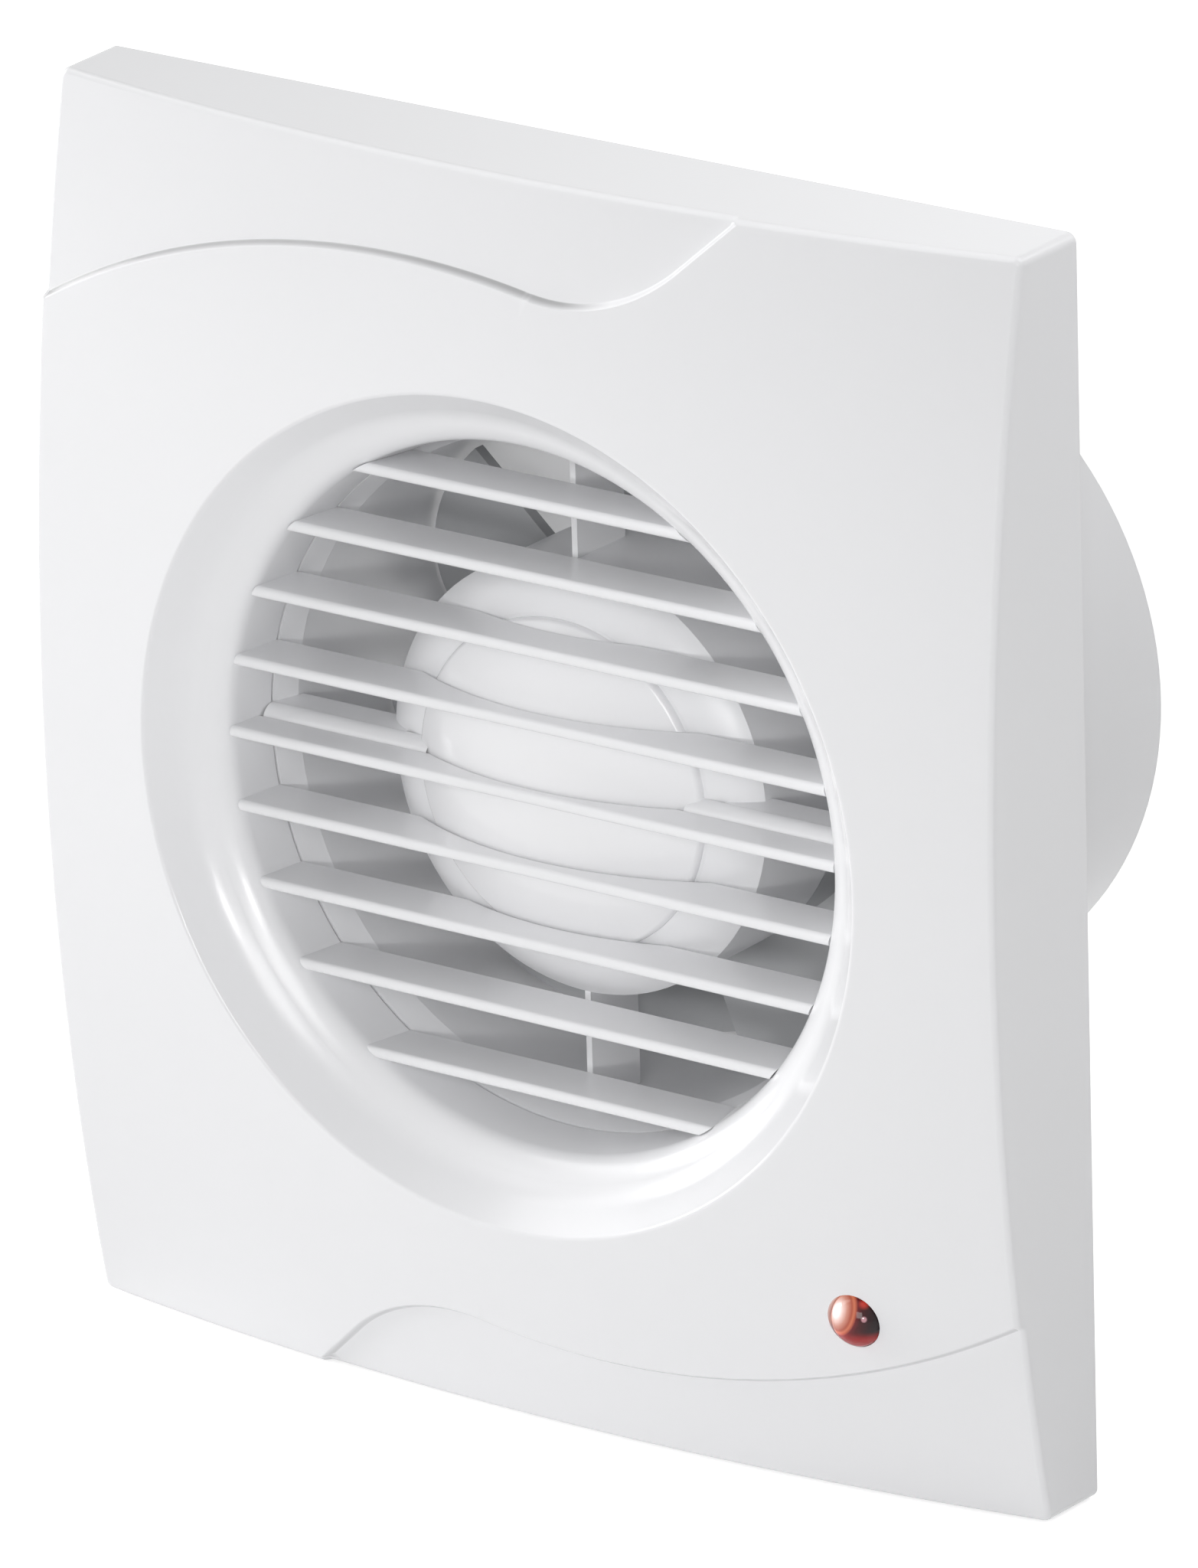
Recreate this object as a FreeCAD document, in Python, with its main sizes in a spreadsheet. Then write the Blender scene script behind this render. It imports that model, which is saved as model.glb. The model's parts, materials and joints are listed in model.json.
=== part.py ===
import FreeCAD, Part
import math
import os
import Sketcher

# Wall ventilation fan with a domed cover, fixed louvre slats and a round duct spigot.
# The wall lies in the plane Y = 0, the room is on the side of -Y, the duct runs along +Y
# and +Z is up. The origin is where the duct axis meets the wall.
# Depths are measured from the wall: a "depth" goes to the room side, a "reach" to the duct side.

# Every size of the fan, in millimetres unless its note says otherwise.
SIZES = [
    ("face_width", 156.4, "width of the cover at the wall"),
    ("face_height", 174.8, "height of the cover at the wall"),
    ("cover_draft", 1.0, "draft of the cover's side walls, in degrees"),
    ("corner_round", 1.4, "rounding of the cover's four upright corners"),
    ("front_round", 1.0, "rounding between the side walls and the domed front"),
    ("dome_radius", 427.0, "radius of the domed front"),
    ("dome_depth", 28.2, "depth of the dome's crown, if it had no bore"),
    ("cover_wall", 2.2, "wall of the cover"),
    ("wave_step", 1.1, "height of the raised band above the wavy panels"),
    ("wave_hump_x", 13.0, "distance of the wave's hump from the middle"),
    ("wave_hump_share", 0.42449, "height of the wave's hump as a share of the cover's height"),
    ("wave_hump_radius", 125.0, "radius of the wave's hump"),
    ("wave_dip_share", 0.41476, "height of the wave's dip as a share of the cover's height"),
    ("wave_dip_radius", 27.0, "radius of the wave's dip"),
    ("lip_radius", 58.3, "radius of the recess at the domed front"),
    ("valley_radius", 53.8, "radius of the valley round the recess"),
    ("valley_depth", 19.3, "depth of the valley"),
    ("ridge_radius", 51.4, "radius of the ridge inside the valley"),
    ("ridge_depth", 18.1, "depth of the ridge"),
    ("lip_round", 1.6, "rounding of the recess's outer edge"),
    ("valley_round", 3.2, "rounding of the valley"),
    ("ridge_round", 3.0, "rounding of the ridge"),
    ("mouth_round", 4.0, "rounding of the bore's mouth"),
    ("bore_mouth_radius", 49.4, "radius of the air bore where it opens"),
    ("bore_mouth_depth", 16.3, "depth of the mouth of the air bore"),
    ("bore_rear_radius", 48.4, "radius of the air bore at its rear edge"),
    ("bore_rear_depth", 8.2, "depth of the bore's rear edge"),
    ("slat_count", 9, "number of louvre slats"),
    ("slat_pitch", 10.35, "height from slat to slat"),
    ("slat_thickness", 1.6, "thickness of a slat"),
    ("slat_rise", 0.3, "height of the middle slat above the duct axis"),
    ("slat_gap", 0.4, "gap between a slat and what stands behind it"),
    ("lens_inset_x", 24.2, "distance of the indicator lens from the cover's right side"),
    ("lens_inset_z", 26.8, "distance of the indicator lens from the cover's lower side"),
    ("lens_radius", 3.75, "radius of the indicator lens"),
    ("lens_crown", 2.9, "height of the lens's dome"),
    ("lens_flange_radius", 5.4, "radius of the lens's flange"),
    ("lens_flange", 1.2, "thickness of the lens's flange"),
    ("lens_seat_gap", 5.4, "distance of the lens's seat behind the cover's front"),
    ("lens_boss_radius", 6.6, "radius of the boss round the lens"),
    ("lamp_radius", 2.5, "radius of the lamp behind the lens"),
    ("lamp_rim_radius", 2.9, "radius of the lamp's rim"),
    ("lamp_length", 7.6, "length of the lamp"),
    ("lamp_gap", 0.4, "gap round the lamp inside the lens"),
    ("lug_width", 11.0, "width of the cover's snap lugs"),
    ("lug_height", 2.0, "size of a snap lug along the duct axis"),
    ("lug_depth", 3.3, "depth at which the snap lugs start"),
    ("lug_spacing", 90.0, "distance between the snap lugs"),
    ("play", 0.3, "play between moulded parts that plug together"),
    ("cover_gap", 0.5, "gap between the cover's wall and the base frame"),
    ("base_thickness", 2.5, "thickness of the base plate"),
    ("rim_wall", 1.6, "wall of the rim round the base plate"),
    ("rim_depth", 8.0, "depth of that rim"),
    ("base_corner", 1.2, "rounding of the base frame's corners"),
    ("wall_screw_inset", 11.4, "distance of the wall screw holes from the cover's sides"),
    ("wall_screw_radius", 2.25, "radius of the wall screw holes"),
    ("boss_radius", 4.6, "radius of the bosses on the base plate"),
    ("wall_boss_depth", 4.5, "depth of the bosses round the wall screws"),
    ("cover_screw_depth", 5.0, "depth of the cover screw's axis"),
    ("cover_screw_tab", 10.0, "width of the blocks that take the cover screw"),
    ("cover_tab_depth", 9.0, "depth of those blocks"),
    ("cover_tab_height", 6.5, "height of the base frame's block"),
    ("cover_boss_height", 3.2, "height of the cover's block"),
    ("cover_screw_radius", 1.5, "radius of the cover screw's shank"),
    ("cover_screw_head", 2.8, "radius of the cover screw's head"),
    ("cover_screw_head_height", 1.8, "height of that head"),
    ("cover_screw_sink", 2.2, "depth of the counterbore for that head"),
    ("cover_screw_length", 8.0, "length of the cover screw's shank"),
    ("spigot_radius", 49.0, "outer radius of the duct spigot"),
    ("spigot_reach", 60.9, "reach of the duct spigot behind the wall"),
    ("spigot_wall", 1.8, "wall of the duct spigot"),
    ("spigot_chamfer", 0.8, "chamfer at the spigot's rear edge"),
    ("spigot_collar", 0.6, "height of the spigot's collar in the base plate, and of its cone behind it"),
    ("spigot_flange_radius", 54.0, "radius of the spigot's flange"),
    ("spigot_flange", 1.5, "thickness of the spigot's flange"),
    ("ring_wall", 1.8, "wall of the motor carrier's ring"),
    ("ear_x", 47.3, "sideways place of the carrier's ears"),
    ("ear_z", 36.9, "height of the carrier's ears"),
    ("ear_radius", 4.2, "radius of the carrier's ears"),
    ("ear_thickness", 1.6, "thickness of the carrier's ears"),
    ("ear_web", 7.0, "width of the webs that lead to the ears"),
    ("cup_radius", 30.4, "outer radius of the motor cup"),
    ("cup_wall", 1.8, "wall of the motor cup"),
    ("cup_reach", 12.8, "reach of the motor cup behind the wall"),
    ("cup_edge_depth", 4.6, "depth at which the cup's shoulder starts"),
    ("shoulder_radius", 23.6, "radius at which the cup's shoulder ends"),
    ("shoulder_depth", 8.1, "depth of the cup's front"),
    ("shoulder_sweep", 11.0, "radius of the shoulder's curve"),
    ("cup_mouth_radius", 21.5, "radius of the opening in the cup's front"),
    ("cup_floor_depth", 6.4, "depth of the motor's seat in the cup"),
    ("cup_floor_radius", 26.2, "radius of the motor's seat"),
    ("arm_height", 4.6, "height of the side arms"),
    ("arm_front_depth", 8.1, "depth of the side arms' front edge"),
    ("arm_rear_depth", 3.2, "depth of the side arms' rear edge"),
    ("arm_wall", 1.0, "wall of the side arms' channel"),
    ("fin_thickness", 0.9, "thickness of the upright arms"),
    ("fin_front_depth", 4.2, "depth of the upright arms' front edge"),
    ("fin_reach", 6.4, "reach of the upright arms behind the wall"),
    ("cap_radius", 23.1, "radius of the motor cap"),
    ("cap_rim_depth", 9.0, "depth of the cap's rim"),
    ("cap_depth", 14.3, "depth of the cap's crown"),
    ("cap_wall", 1.4, "wall of the motor cap"),
    ("cap_plug_reach", 1.6, "length of the cap's plug in the cup"),
    ("tube_radius", 2.4, "radius of the half tubes that close the side arms"),
    ("tube_wall", 0.9, "wall of those half tubes"),
    ("stator_radius", 26.0, "outer radius of the stator stack"),
    ("stator_inner", 21.0, "inner radius of the stator's yoke"),
    ("stack_front_depth", 1.5, "depth of the stack's front face"),
    ("stack_reach", 8.5, "reach of the stack's rear face"),
    ("rotor_radius", 11.0, "radius of the rotor"),
    ("air_gap", 0.5, "air gap between rotor and stator"),
    ("pole_width", 7.0, "width of a stator pole"),
    ("pole_shoe_width", 13.0, "width of a pole shoe"),
    ("pole_shoe", 1.8, "thickness of a pole shoe"),
    ("bobbin_wall", 0.7, "wall of a coil bobbin"),
    ("coil_build", 2.4, "thickness of a coil's winding"),
    ("motor_screw_place", 23.4, "distance of the motor screws from the axis"),
    ("motor_screw_radius", 1.3, "radius of a motor screw"),
    ("motor_screw_head", 2.4, "radius of a motor screw's head"),
    ("motor_screw_head_height", 1.8, "height of that head"),
    ("screw_bite", 1.5, "length of a motor screw in the cup's front"),
    ("bracket_sheet", 1.2, "sheet thickness of the bearing brackets"),
    ("bracket_arm", 5.4, "width of a bearing bracket's arm"),
    ("bracket_disc", 9.0, "radius of a bearing bracket's middle"),
    ("rear_bracket_reach", 12.4, "reach of the rear bracket's front face"),
    ("sleeve_radius", 2.5, "radius of the distance sleeves"),
    ("bearing_radius", 4.0, "outer radius of a bearing"),
    ("bearing_length", 4.0, "length of a bearing"),
    ("bearing_boss_wall", 1.0, "wall of a bearing's holder"),
    ("shaft_radius", 2.0, "radius of the shaft"),
    ("running_gap", 0.03, "radial clearance of the shaft in its bearings"),
    ("hole_gap", 0.05, "radial clearance of a screw in its hole"),
    ("washer_radius", 3.6, "radius of a thrust washer"),
    ("washer", 0.4, "thickness of a thrust washer"),
    ("end_play", 0.15, "axial play of the rotor at each bearing"),
    ("end_ring", 1.6, "thickness of the rotor's end rings"),
    ("end_ring_radius", 10.2, "radius of the rotor's end rings"),
    ("hub_radius", 30.0, "outer radius of the impeller hub"),
    ("hub_wall", 1.6, "wall of the impeller hub"),
    ("hub_front_reach", 14.0, "reach of the hub's front rim"),
    ("hub_reach", 35.0, "reach of the hub's rear face"),
    ("hub_round", 5.0, "rounding of the hub's rear edge"),
    ("hub_boss_radius", 5.0, "radius of the boss on the shaft"),
    ("hub_boss_reach", 18.5, "reach at which that boss starts"),
    ("blade_count", 7, "number of impeller blades"),
    ("blade_tip_gap", 1.1, "gap between blade tips and duct"),
    ("blade_thickness", 1.5, "thickness of a blade"),
    ("blade_front_reach", 14.6, "reach of the blades' leading edges"),
    ("blade_rear_reach", 34.0, "reach of the blades' trailing edges"),
    ("blade_root_wrap", 24.5, "sideways run of a blade at its root plane"),
    ("blade_tip_wrap", 41.0, "sideways run of a blade at its tip plane"),
    ("blade_root_plane", 22.0, "distance of the root plane from the axis"),
    ("blade_tip_plane", 50.0, "distance of the tip plane from the axis"),
    ("blade_camber", 3.2, "camber of a blade"),
    ("nut_radius", 4.2, "radius of the impeller's nut"),
    ("nut_height", 3.0, "height of that nut"),
    ("thread_end", 1.0, "length of shaft that shows past the nut"),
    ("ear_screw_radius", 1.5, "radius of the carrier screws"),
    ("ear_screw_head", 2.9, "radius of their heads"),
    ("ear_screw_head_height", 1.9, "height of their heads"),
    ("ear_screw_length", 5.0, "length of their shanks"),
    ("terminal_x", 52.5, "sideways place of the terminal block"),
    ("terminal_z", 56.0, "height of the terminal block above the axis"),
    ("terminal_width", 15.0, "width of the terminal block"),
    ("terminal_height", 22.0, "height of the terminal block"),
    ("terminal_depth", 11.0, "size of the terminal block along the axis"),
    ("terminal_pitch", 10.0, "distance from pole to pole"),
    ("terminal_well", 2.6, "radius of the wells over the terminal screws"),
    ("terminal_well_depth", 4.5, "depth of those wells"),
    ("terminal_wire_radius", 1.9, "radius of the wire holes"),
    ("terminal_screw_radius", 2.1, "radius of a terminal screw's head"),
    ("terminal_screw_head_height", 1.6, "height of a terminal screw's head"),
    ("terminal_offset", 3.4, "distance of the screws from the block's middle"),
    ("inlet_x", 22.0, "sideways place of the cable inlet"),
    ("inlet_z", 59.4, "height of the cable inlet above the axis"),
    ("inlet_radius", 7.0, "radius of the inlet hole"),
    ("grommet_lip", 1.6, "width of the grommet's lips"),
    ("grommet_lip_height", 1.5, "thickness of the grommet's lips"),
    ("grommet_bore", 3.6, "radius of the grommet's bore"),
    ("plate_recess", 1.8, "depth of the recess behind the grommet"),
    ("clamp_x", 37.0, "sideways place of the cord clamp"),
    ("clamp_width", 6.0, "width of the cord clamp"),
    ("clamp_height", 17.0, "height of the cord clamp"),
    ("clamp_thickness", 2.6, "thickness of the cord clamp"),
    ("clamp_gap", 5.5, "room for the cable under the clamp"),
    ("clamp_screw_place", 5.9, "distance of the clamp screws from its middle"),
    ("clamp_screw_radius", 1.4, "radius of the clamp screws"),
    ("clamp_screw_head", 2.5, "radius of their heads"),
    ("clamp_screw_head_height", 1.7, "height of their heads"),
    ("clamp_post_radius", 2.6, "radius of the clamp's posts"),
    ("clamp_screw_length", 7.0, "length of their shanks"),
    ("board_width", 26.0, "width of the lamp's circuit board"),
    ("board_height", 18.0, "height of the lamp's circuit board"),
    ("board_thickness", 1.6, "thickness of the circuit board"),
    ("board_gap", 5.6, "distance of the circuit board's front face behind the lens's seat"),
    ("board_screw_place", 10.0, "distance of the board's screws from the lamp"),
    ("board_screw_radius", 1.1, "radius of the board's screws"),
    ("board_screw_head", 2.0, "radius of their heads"),
    ("board_screw_head_height", 1.4, "height of their heads"),
    ("board_screw_length", 5.0, "length of their shanks"),
    ("board_post_radius", 2.6, "radius of the posts under the board"),
    ("resistor_radius", 1.2, "radius of the dropper resistor"),
    ("resistor_length", 7.0, "length of the dropper resistor"),
    ("capacitor_width", 9.0, "width of the dropper capacitor"),
    ("capacitor_height", 4.0, "height of the dropper capacitor"),
    ("capacitor_depth", 4.0, "size of the dropper capacitor along the axis"),
    ("part_row", 5.6, "distance of the board's parts from the lamp"),
    ("lead_radius", 0.75, "radius of an insulated lead"),
    ("lead_pitch", 1.7, "distance between the two leads of a pair"),
    ("lead_bend", 6.0, "bending radius of the leads"),
    ("motor_lead_depth", 5.6, "depth of the motor leads"),
    ("motor_lead_x", 55.5, "sideways place of the motor leads' upright run"),
    ("lamp_lead_x", 53.5, "sideways place of the lamp leads"),
    ("overrun", 3.0, "length by which a cut runs past what it cuts"),
]

doc = FreeCAD.newDocument("ventilation_fan")
sheet = doc.addObject("Spreadsheet::Sheet", "sizes")


class Size:
    """A size that is known both as a number and as a formula of the sheet."""

    def __init__(self, text, number):
        self.text = text
        self.number = number

    def join(self, sign, other, number):
        return Size(f"({self.text} {sign} {words(other)})", number)

    def __add__(self, other):
        return self.join("+", other, self.number + amount(other))

    def __sub__(self, other):
        return self.join("-", other, self.number - amount(other))

    def __mul__(self, other):
        return self.join("*", other, self.number * amount(other))

    def __truediv__(self, other):
        return self.join("/", other, self.number / amount(other))

    def __neg__(self):
        return Size(f"(-1 * {self.text})", -self.number)


def amount(size):
    """The number of a size, or the plain number itself."""
    return size.number if isinstance(size, Size) else float(size)


def words(size):
    """The formula of a size, or the plain number as text."""
    return size.text if isinstance(size, Size) else repr(float(size))


def root(size):
    """The square root of a size."""
    return Size(f"sqrt({size.text})", math.sqrt(size.number))


class Sizes:
    """The cells of the sheet, each under its alias."""


s = Sizes()
for row, (alias, number, note) in enumerate(SIZES, start=1):
    sheet.set(f"A{row}", note)
    sheet.set(f"B{row}", str(number))
    sheet.setAlias(f"B{row}", alias)
    setattr(s, alias, Size(f"sizes.{alias}", float(number)))
doc.recompute()


def bind(item, prop, size):
    """Drive a property by a formula of the sheet, or set it where it is a plain number."""
    if isinstance(size, Size):
        item.setExpression(prop, size.text)
    else:
        item.setExpression(prop, repr(float(size)))


def place(item, at=(0, 0, 0), turn=None):
    """Put an object at a place given in sizes, turned by a fixed rotation."""
    if turn is not None:
        item.Placement = FreeCAD.Placement(FreeCAD.Vector(), turn)
    for axis, size in zip("xyz", at):
        if isinstance(size, Size) or size:
            bind(item, f"Placement.Base.{axis}", size)
    return item


# Rotations that lay a shape made along Z on another axis.
ALONG_X = FreeCAD.Rotation(FreeCAD.Vector(0, 1, 0), 90)
ALONG_Y = FreeCAD.Rotation(FreeCAD.Vector(1, 0, 0), -90)
UPRIGHT = FreeCAD.Rotation()


def new_body(name):
    return doc.addObject("PartDesign::Body", name)


def new_sketch(body, name, plane, offset=None):
    """A sketch on one of the body's own planes, moved along the plane's normal."""
    item = body.newObject("Sketcher::SketchObject", name)
    support = [face for face in body.Origin.OriginFeatures if face.Role == plane][0]
    item.AttachmentSupport = [(support, "")]
    item.MapMode = "FlatFace"
    if offset is not None:
        bind(item, "AttachmentOffset.Base.z", offset)
    return item


def vector(point):
    return FreeCAD.Vector(amount(point[0]), amount(point[1]), 0)


def arc_between(start, end, radius, side):
    """The short arc between two points, bulging to the left (side 1) or right (side -1)."""
    chord = end - start
    left = FreeCAD.Vector(-chord.y, chord.x, 0).normalize()
    drop = math.sqrt(max(amount(radius) ** 2 - chord.Length ** 2 / 4, 0))
    centre = (start + end) * 0.5 - left * (drop * side)
    first, last = (end, start) if side > 0 else (start, end)
    angles = [math.atan2(point.y - centre.y, point.x - centre.x) for point in (first, last)]
    circle = Part.Circle(centre, FreeCAD.Vector(0, 0, 1), amount(radius))
    return Part.ArcOfCircle(circle, *angles)


def add_rules(sketch, rules):
    """Add constraints together, each with the size that drives it, or None."""
    numbers = sketch.addConstraint([rule for rule, size in rules])
    for number, (rule, size) in zip(numbers, rules):
        if isinstance(size, Size):
            sketch.setExpression(f"Constraints[{number}]", size.text)


def fixed_at(number, end, point):
    """The two rules that fix one end of a line or arc at a place given in sizes."""
    rules = []
    for kind, size in zip(("DistanceX", "DistanceY"), point):
        rules.append((Sketcher.Constraint(kind, -1, 1, number, end, amount(size)), size))
    return rules


def outline(sketch, points):
    """A closed outline. A point is (x, y), or (x, y, radius, side) to reach it by an arc."""
    edges = []
    ends = []
    for before, point in zip([points[-1]] + points[:-1], points):
        if len(point) == 2:
            edges.append(Part.LineSegment(vector(before), vector(point)))
            ends.append((1, 2))
        else:
            edges.append(arc_between(vector(before), vector(point), point[2], point[3]))
            ends.append((2, 1) if point[3] > 0 else (1, 2))
    numbers = sketch.addGeometry(edges)
    rules = []
    for step, point in enumerate(points):
        number, end = numbers[step], ends[step][1]
        following = (step + 1) % len(points)
        join = Sketcher.Constraint("Coincident", number, end, numbers[following], ends[following][0])
        rules.append((join, None))
        rules += fixed_at(number, end, point[:2])
        if len(point) > 2:
            rules.append((Sketcher.Constraint("Radius", number, amount(point[2])), point[2]))
    add_rules(sketch, rules)


def ring_line(sketch, x, y, radius):
    """A circle in a sketch."""
    number = sketch.addGeometry(Part.Circle(vector((x, y)), FreeCAD.Vector(0, 0, 1), amount(radius)))
    rules = fixed_at(number, 3, (x, y))
    rules.append((Sketcher.Constraint("Radius", number, amount(radius)), radius))
    add_rules(sketch, rules)


def rectangle(x, y, width, height):
    """The corners of a rectangle round a point."""
    left, right = x - width / 2, x + width / 2
    low, high = y - height / 2, y + height / 2
    return [(left, low), (right, low), (right, high), (left, high)]


ZERO = Size("0", 0.0)


def add_pad(body, sketch, length, draft=None):
    """Raise a sketch along its normal, which on the XZ plane points to the room."""
    item = body.newObject("PartDesign::Pad", sketch.Name + "_pad")
    item.Profile = sketch
    bind(item, "Length", length)
    if draft is not None:
        bind(item, "TaperAngle", draft)
    doc.recompute()
    return item


def add_turn(body, sketch, kind="PartDesign::Revolution"):
    """Turn a sketch on the XY plane round the duct axis, to add or to cut material."""
    item = body.newObject(kind, sketch.Name + "_turn")
    item.Profile = sketch
    item.ReferenceAxis = (sketch, ["V_Axis"])
    item.Angle = 360
    doc.recompute()
    return item


def add_fillet(body, base, edges, radius):
    """Round chosen edges of the body's last feature."""
    item = body.newObject("PartDesign::Fillet", base.Name + "_round")
    item.Base = (base, edges)
    bind(item, "Radius", radius)
    doc.recompute()
    return item


def turned(name, points):
    """A body turned round the duct axis from an outline of (radius, y)."""
    body = new_body(name)
    sketch = new_sketch(body, name + "_section", "XY_Plane")
    outline(sketch, points)
    add_turn(body, sketch)
    return body


def slab(name, points, front, rear):
    """A prism along the duct axis, from its rear place to its front place."""
    body = new_body(name)
    sketch = new_sketch(body, name + "_outline", "XZ_Plane", -rear)
    outline(sketch, points)
    add_pad(body, sketch, rear - front)
    return body


def box(name, low, size, degrees=0):
    """A box from its lowest corner and its three sizes, turned round the duct axis."""
    item = doc.addObject("Part::Box", name)
    for prop, length in zip(("Length", "Width", "Height"), size):
        bind(item, prop, length)
    if degrees == 0:
        return place(item, low)
    across = round(math.cos(math.radians(degrees)), 9)
    along = round(math.sin(math.radians(degrees)), 9)
    x = low[0] * across + low[2] * along
    z = low[2] * across - low[0] * along
    return place(item, (x, low[1], z), about_axis(degrees))


def about_axis(degrees):
    """A rotation round the duct axis."""
    return FreeCAD.Rotation(FreeCAD.Vector(0, 1, 0), degrees)


def cylinder(name, radius, length, at, turn=ALONG_Y):
    """A cylinder that starts at a place, by default along +Y."""
    item = doc.addObject("Part::Cylinder", name)
    bind(item, "Radius", radius)
    bind(item, "Height", length)
    return place(item, at, turn)


def sphere(name, radius, at):
    item = doc.addObject("Part::Sphere", name)
    bind(item, "Radius", radius)
    return place(item, at)


def fuse(name, items):
    item = doc.addObject("Part::MultiFuse", name)
    item.Shapes = items
    item.Refine = True
    return item


def common(name, items):
    item = doc.addObject("Part::MultiCommon", name)
    item.Shapes = items
    return item


def cut(name, base, tool):
    item = doc.addObject("Part::Cut", name)
    item.Base = base
    item.Tool = tool
    return item


def group(name, items):
    """Separate solids that share one node."""
    item = doc.addObject("Part::Compound", name)
    item.Links = items
    return item


pieces = []


def piece(label, item):
    """Give a finished sub-part its own name."""
    item.Label = label
    pieces.append(item)
    return item


# Shared places on the room side, as Y coordinates.
bore_rear = -s.bore_rear_depth
plate_front = -s.base_thickness
flange_front = plate_front - s.spigot_flange
spigot_inner = s.spigot_radius - s.spigot_wall
base_half_width = s.face_width / 2 - s.cover_wall - s.cover_gap
base_half_height = s.face_height / 2 - s.cover_wall - s.cover_gap
cap_rise = s.cap_depth - s.cap_rim_depth
cap_sphere = (s.cap_radius * s.cap_radius + cap_rise * cap_rise) / (cap_rise * 2)
dome_centre = s.dome_radius - s.dome_depth

# Shared places that go with the cover's sides, or with the ears of the motor carrier.
lens_x = s.face_width / 2 - s.lens_inset_x
lens_z = s.face_height / 2 - s.lens_inset_z
wall_screw_x = s.face_width / 2 - s.wall_screw_inset
wall_screw_z = s.face_height / 2 - s.wall_screw_inset
ear_place = root(s.ear_x * s.ear_x + s.ear_z * s.ear_z)


def dome_place(radius, sphere_radius):
    """The Y coordinate of a sphere round the dome's centre, at a distance from the axis."""
    return dome_centre - root(sphere_radius * sphere_radius - radius * radius)


lens_seat_depth = -dome_place(root(lens_x * lens_x + lens_z * lens_z), s.dome_radius) - s.lens_seat_gap
board_depth = lens_seat_depth - s.board_gap


def upright_edges(shape):
    """The edges that run along the duct axis or lean a little from it."""
    names = []
    for number, edge in enumerate(shape.Edges, start=1):
        ends = [vertex.Point for vertex in edge.Vertexes]
        if len(ends) < 2:
            continue
        run = ends[1] - ends[0]
        if abs(run.y) > 0.9 * run.Length:
            names.append(f"Edge{number}")
    return names


def front_edges(shape, sphere_radius):
    """The edges whose ends lie on the dome."""
    centre = FreeCAD.Vector(0, amount(dome_centre), 0)
    names = []
    for number, edge in enumerate(shape.Edges, start=1):
        away = [abs(vertex.Point.distanceToPoint(centre) - amount(sphere_radius)) for vertex in edge.Vertexes]
        if len(away) == 2 and max(away) < 0.01 and edge.Length > 1.0:
            names.append(f"Edge{number}")
    return names


def domed_slab(name, width, height, sphere_radius, corner, front):
    """A drafted slab on the wall whose front is part of a large sphere."""
    body = new_body(name)
    sketch = new_sketch(body, name + "_outline", "XZ_Plane")
    outline(sketch, rectangle(ZERO, ZERO, width, height))
    pad = add_pad(body, sketch, s.dome_depth + s.overrun, -s.cover_draft)
    rounded = add_fillet(body, pad, upright_edges(pad.Shape), corner)
    trim = new_sketch(body, name + "_dome", "XY_Plane")
    reach = (s.face_width + s.face_height) * dome_reach_share
    crown = dome_centre - sphere_radius
    far = dome_place(reach, sphere_radius)
    beyond = -s.dome_depth - s.overrun * 2
    outline(trim, [(ZERO, crown), (reach, far, sphere_radius, -1), (reach, beyond), (ZERO, beyond)])
    dome = add_turn(body, trim, "PartDesign::Groove")
    add_fillet(body, dome, front_edges(dome.Shape, sphere_radius), front)
    return body


# The dome is trimmed out to a little more than half the face's diagonal.
dome_reach_share = 0.38


def wave_outline():
    """The raised band between the two waves, which are each other's copies turned half round."""
    hump = (-s.wave_hump_x, s.face_height * s.wave_hump_share - s.wave_hump_radius)
    radii = s.wave_hump_radius + s.wave_dip_radius
    dip_centre = s.face_height * s.wave_dip_share + s.wave_dip_radius
    rise = dip_centre - hump[1]
    run = root(radii * radii - rise * rise)
    dip = (hump[0] + run, dip_centre)
    share = s.wave_hump_radius / radii
    meet = (hump[0] + run * share, hump[1] + rise * share)
    edge = s.face_width / 2 + s.overrun
    top = s.face_height / 2 + s.overrun
    reach = -edge - hump[0]
    start = (-edge, hump[1] + root(s.wave_hump_radius * s.wave_hump_radius - reach * reach))
    slope = s.wave_dip_radius * half_right_share
    leave = (dip[0] + slope, dip[1] - slope)
    out = (leave[0] + (top - leave[1]), top)
    upper = [
        start,
        (meet[0], meet[1], s.wave_hump_radius, 1),
        (leave[0], leave[1], s.wave_dip_radius, -1),
        out,
        (edge, top),
    ]
    lower = []
    for point in upper:
        lower.append((-point[0], -point[1]) + tuple(point[2:]))
    return upper + lower


# The sine and cosine of half a right angle.
half_right_share = 0.70710678


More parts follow.
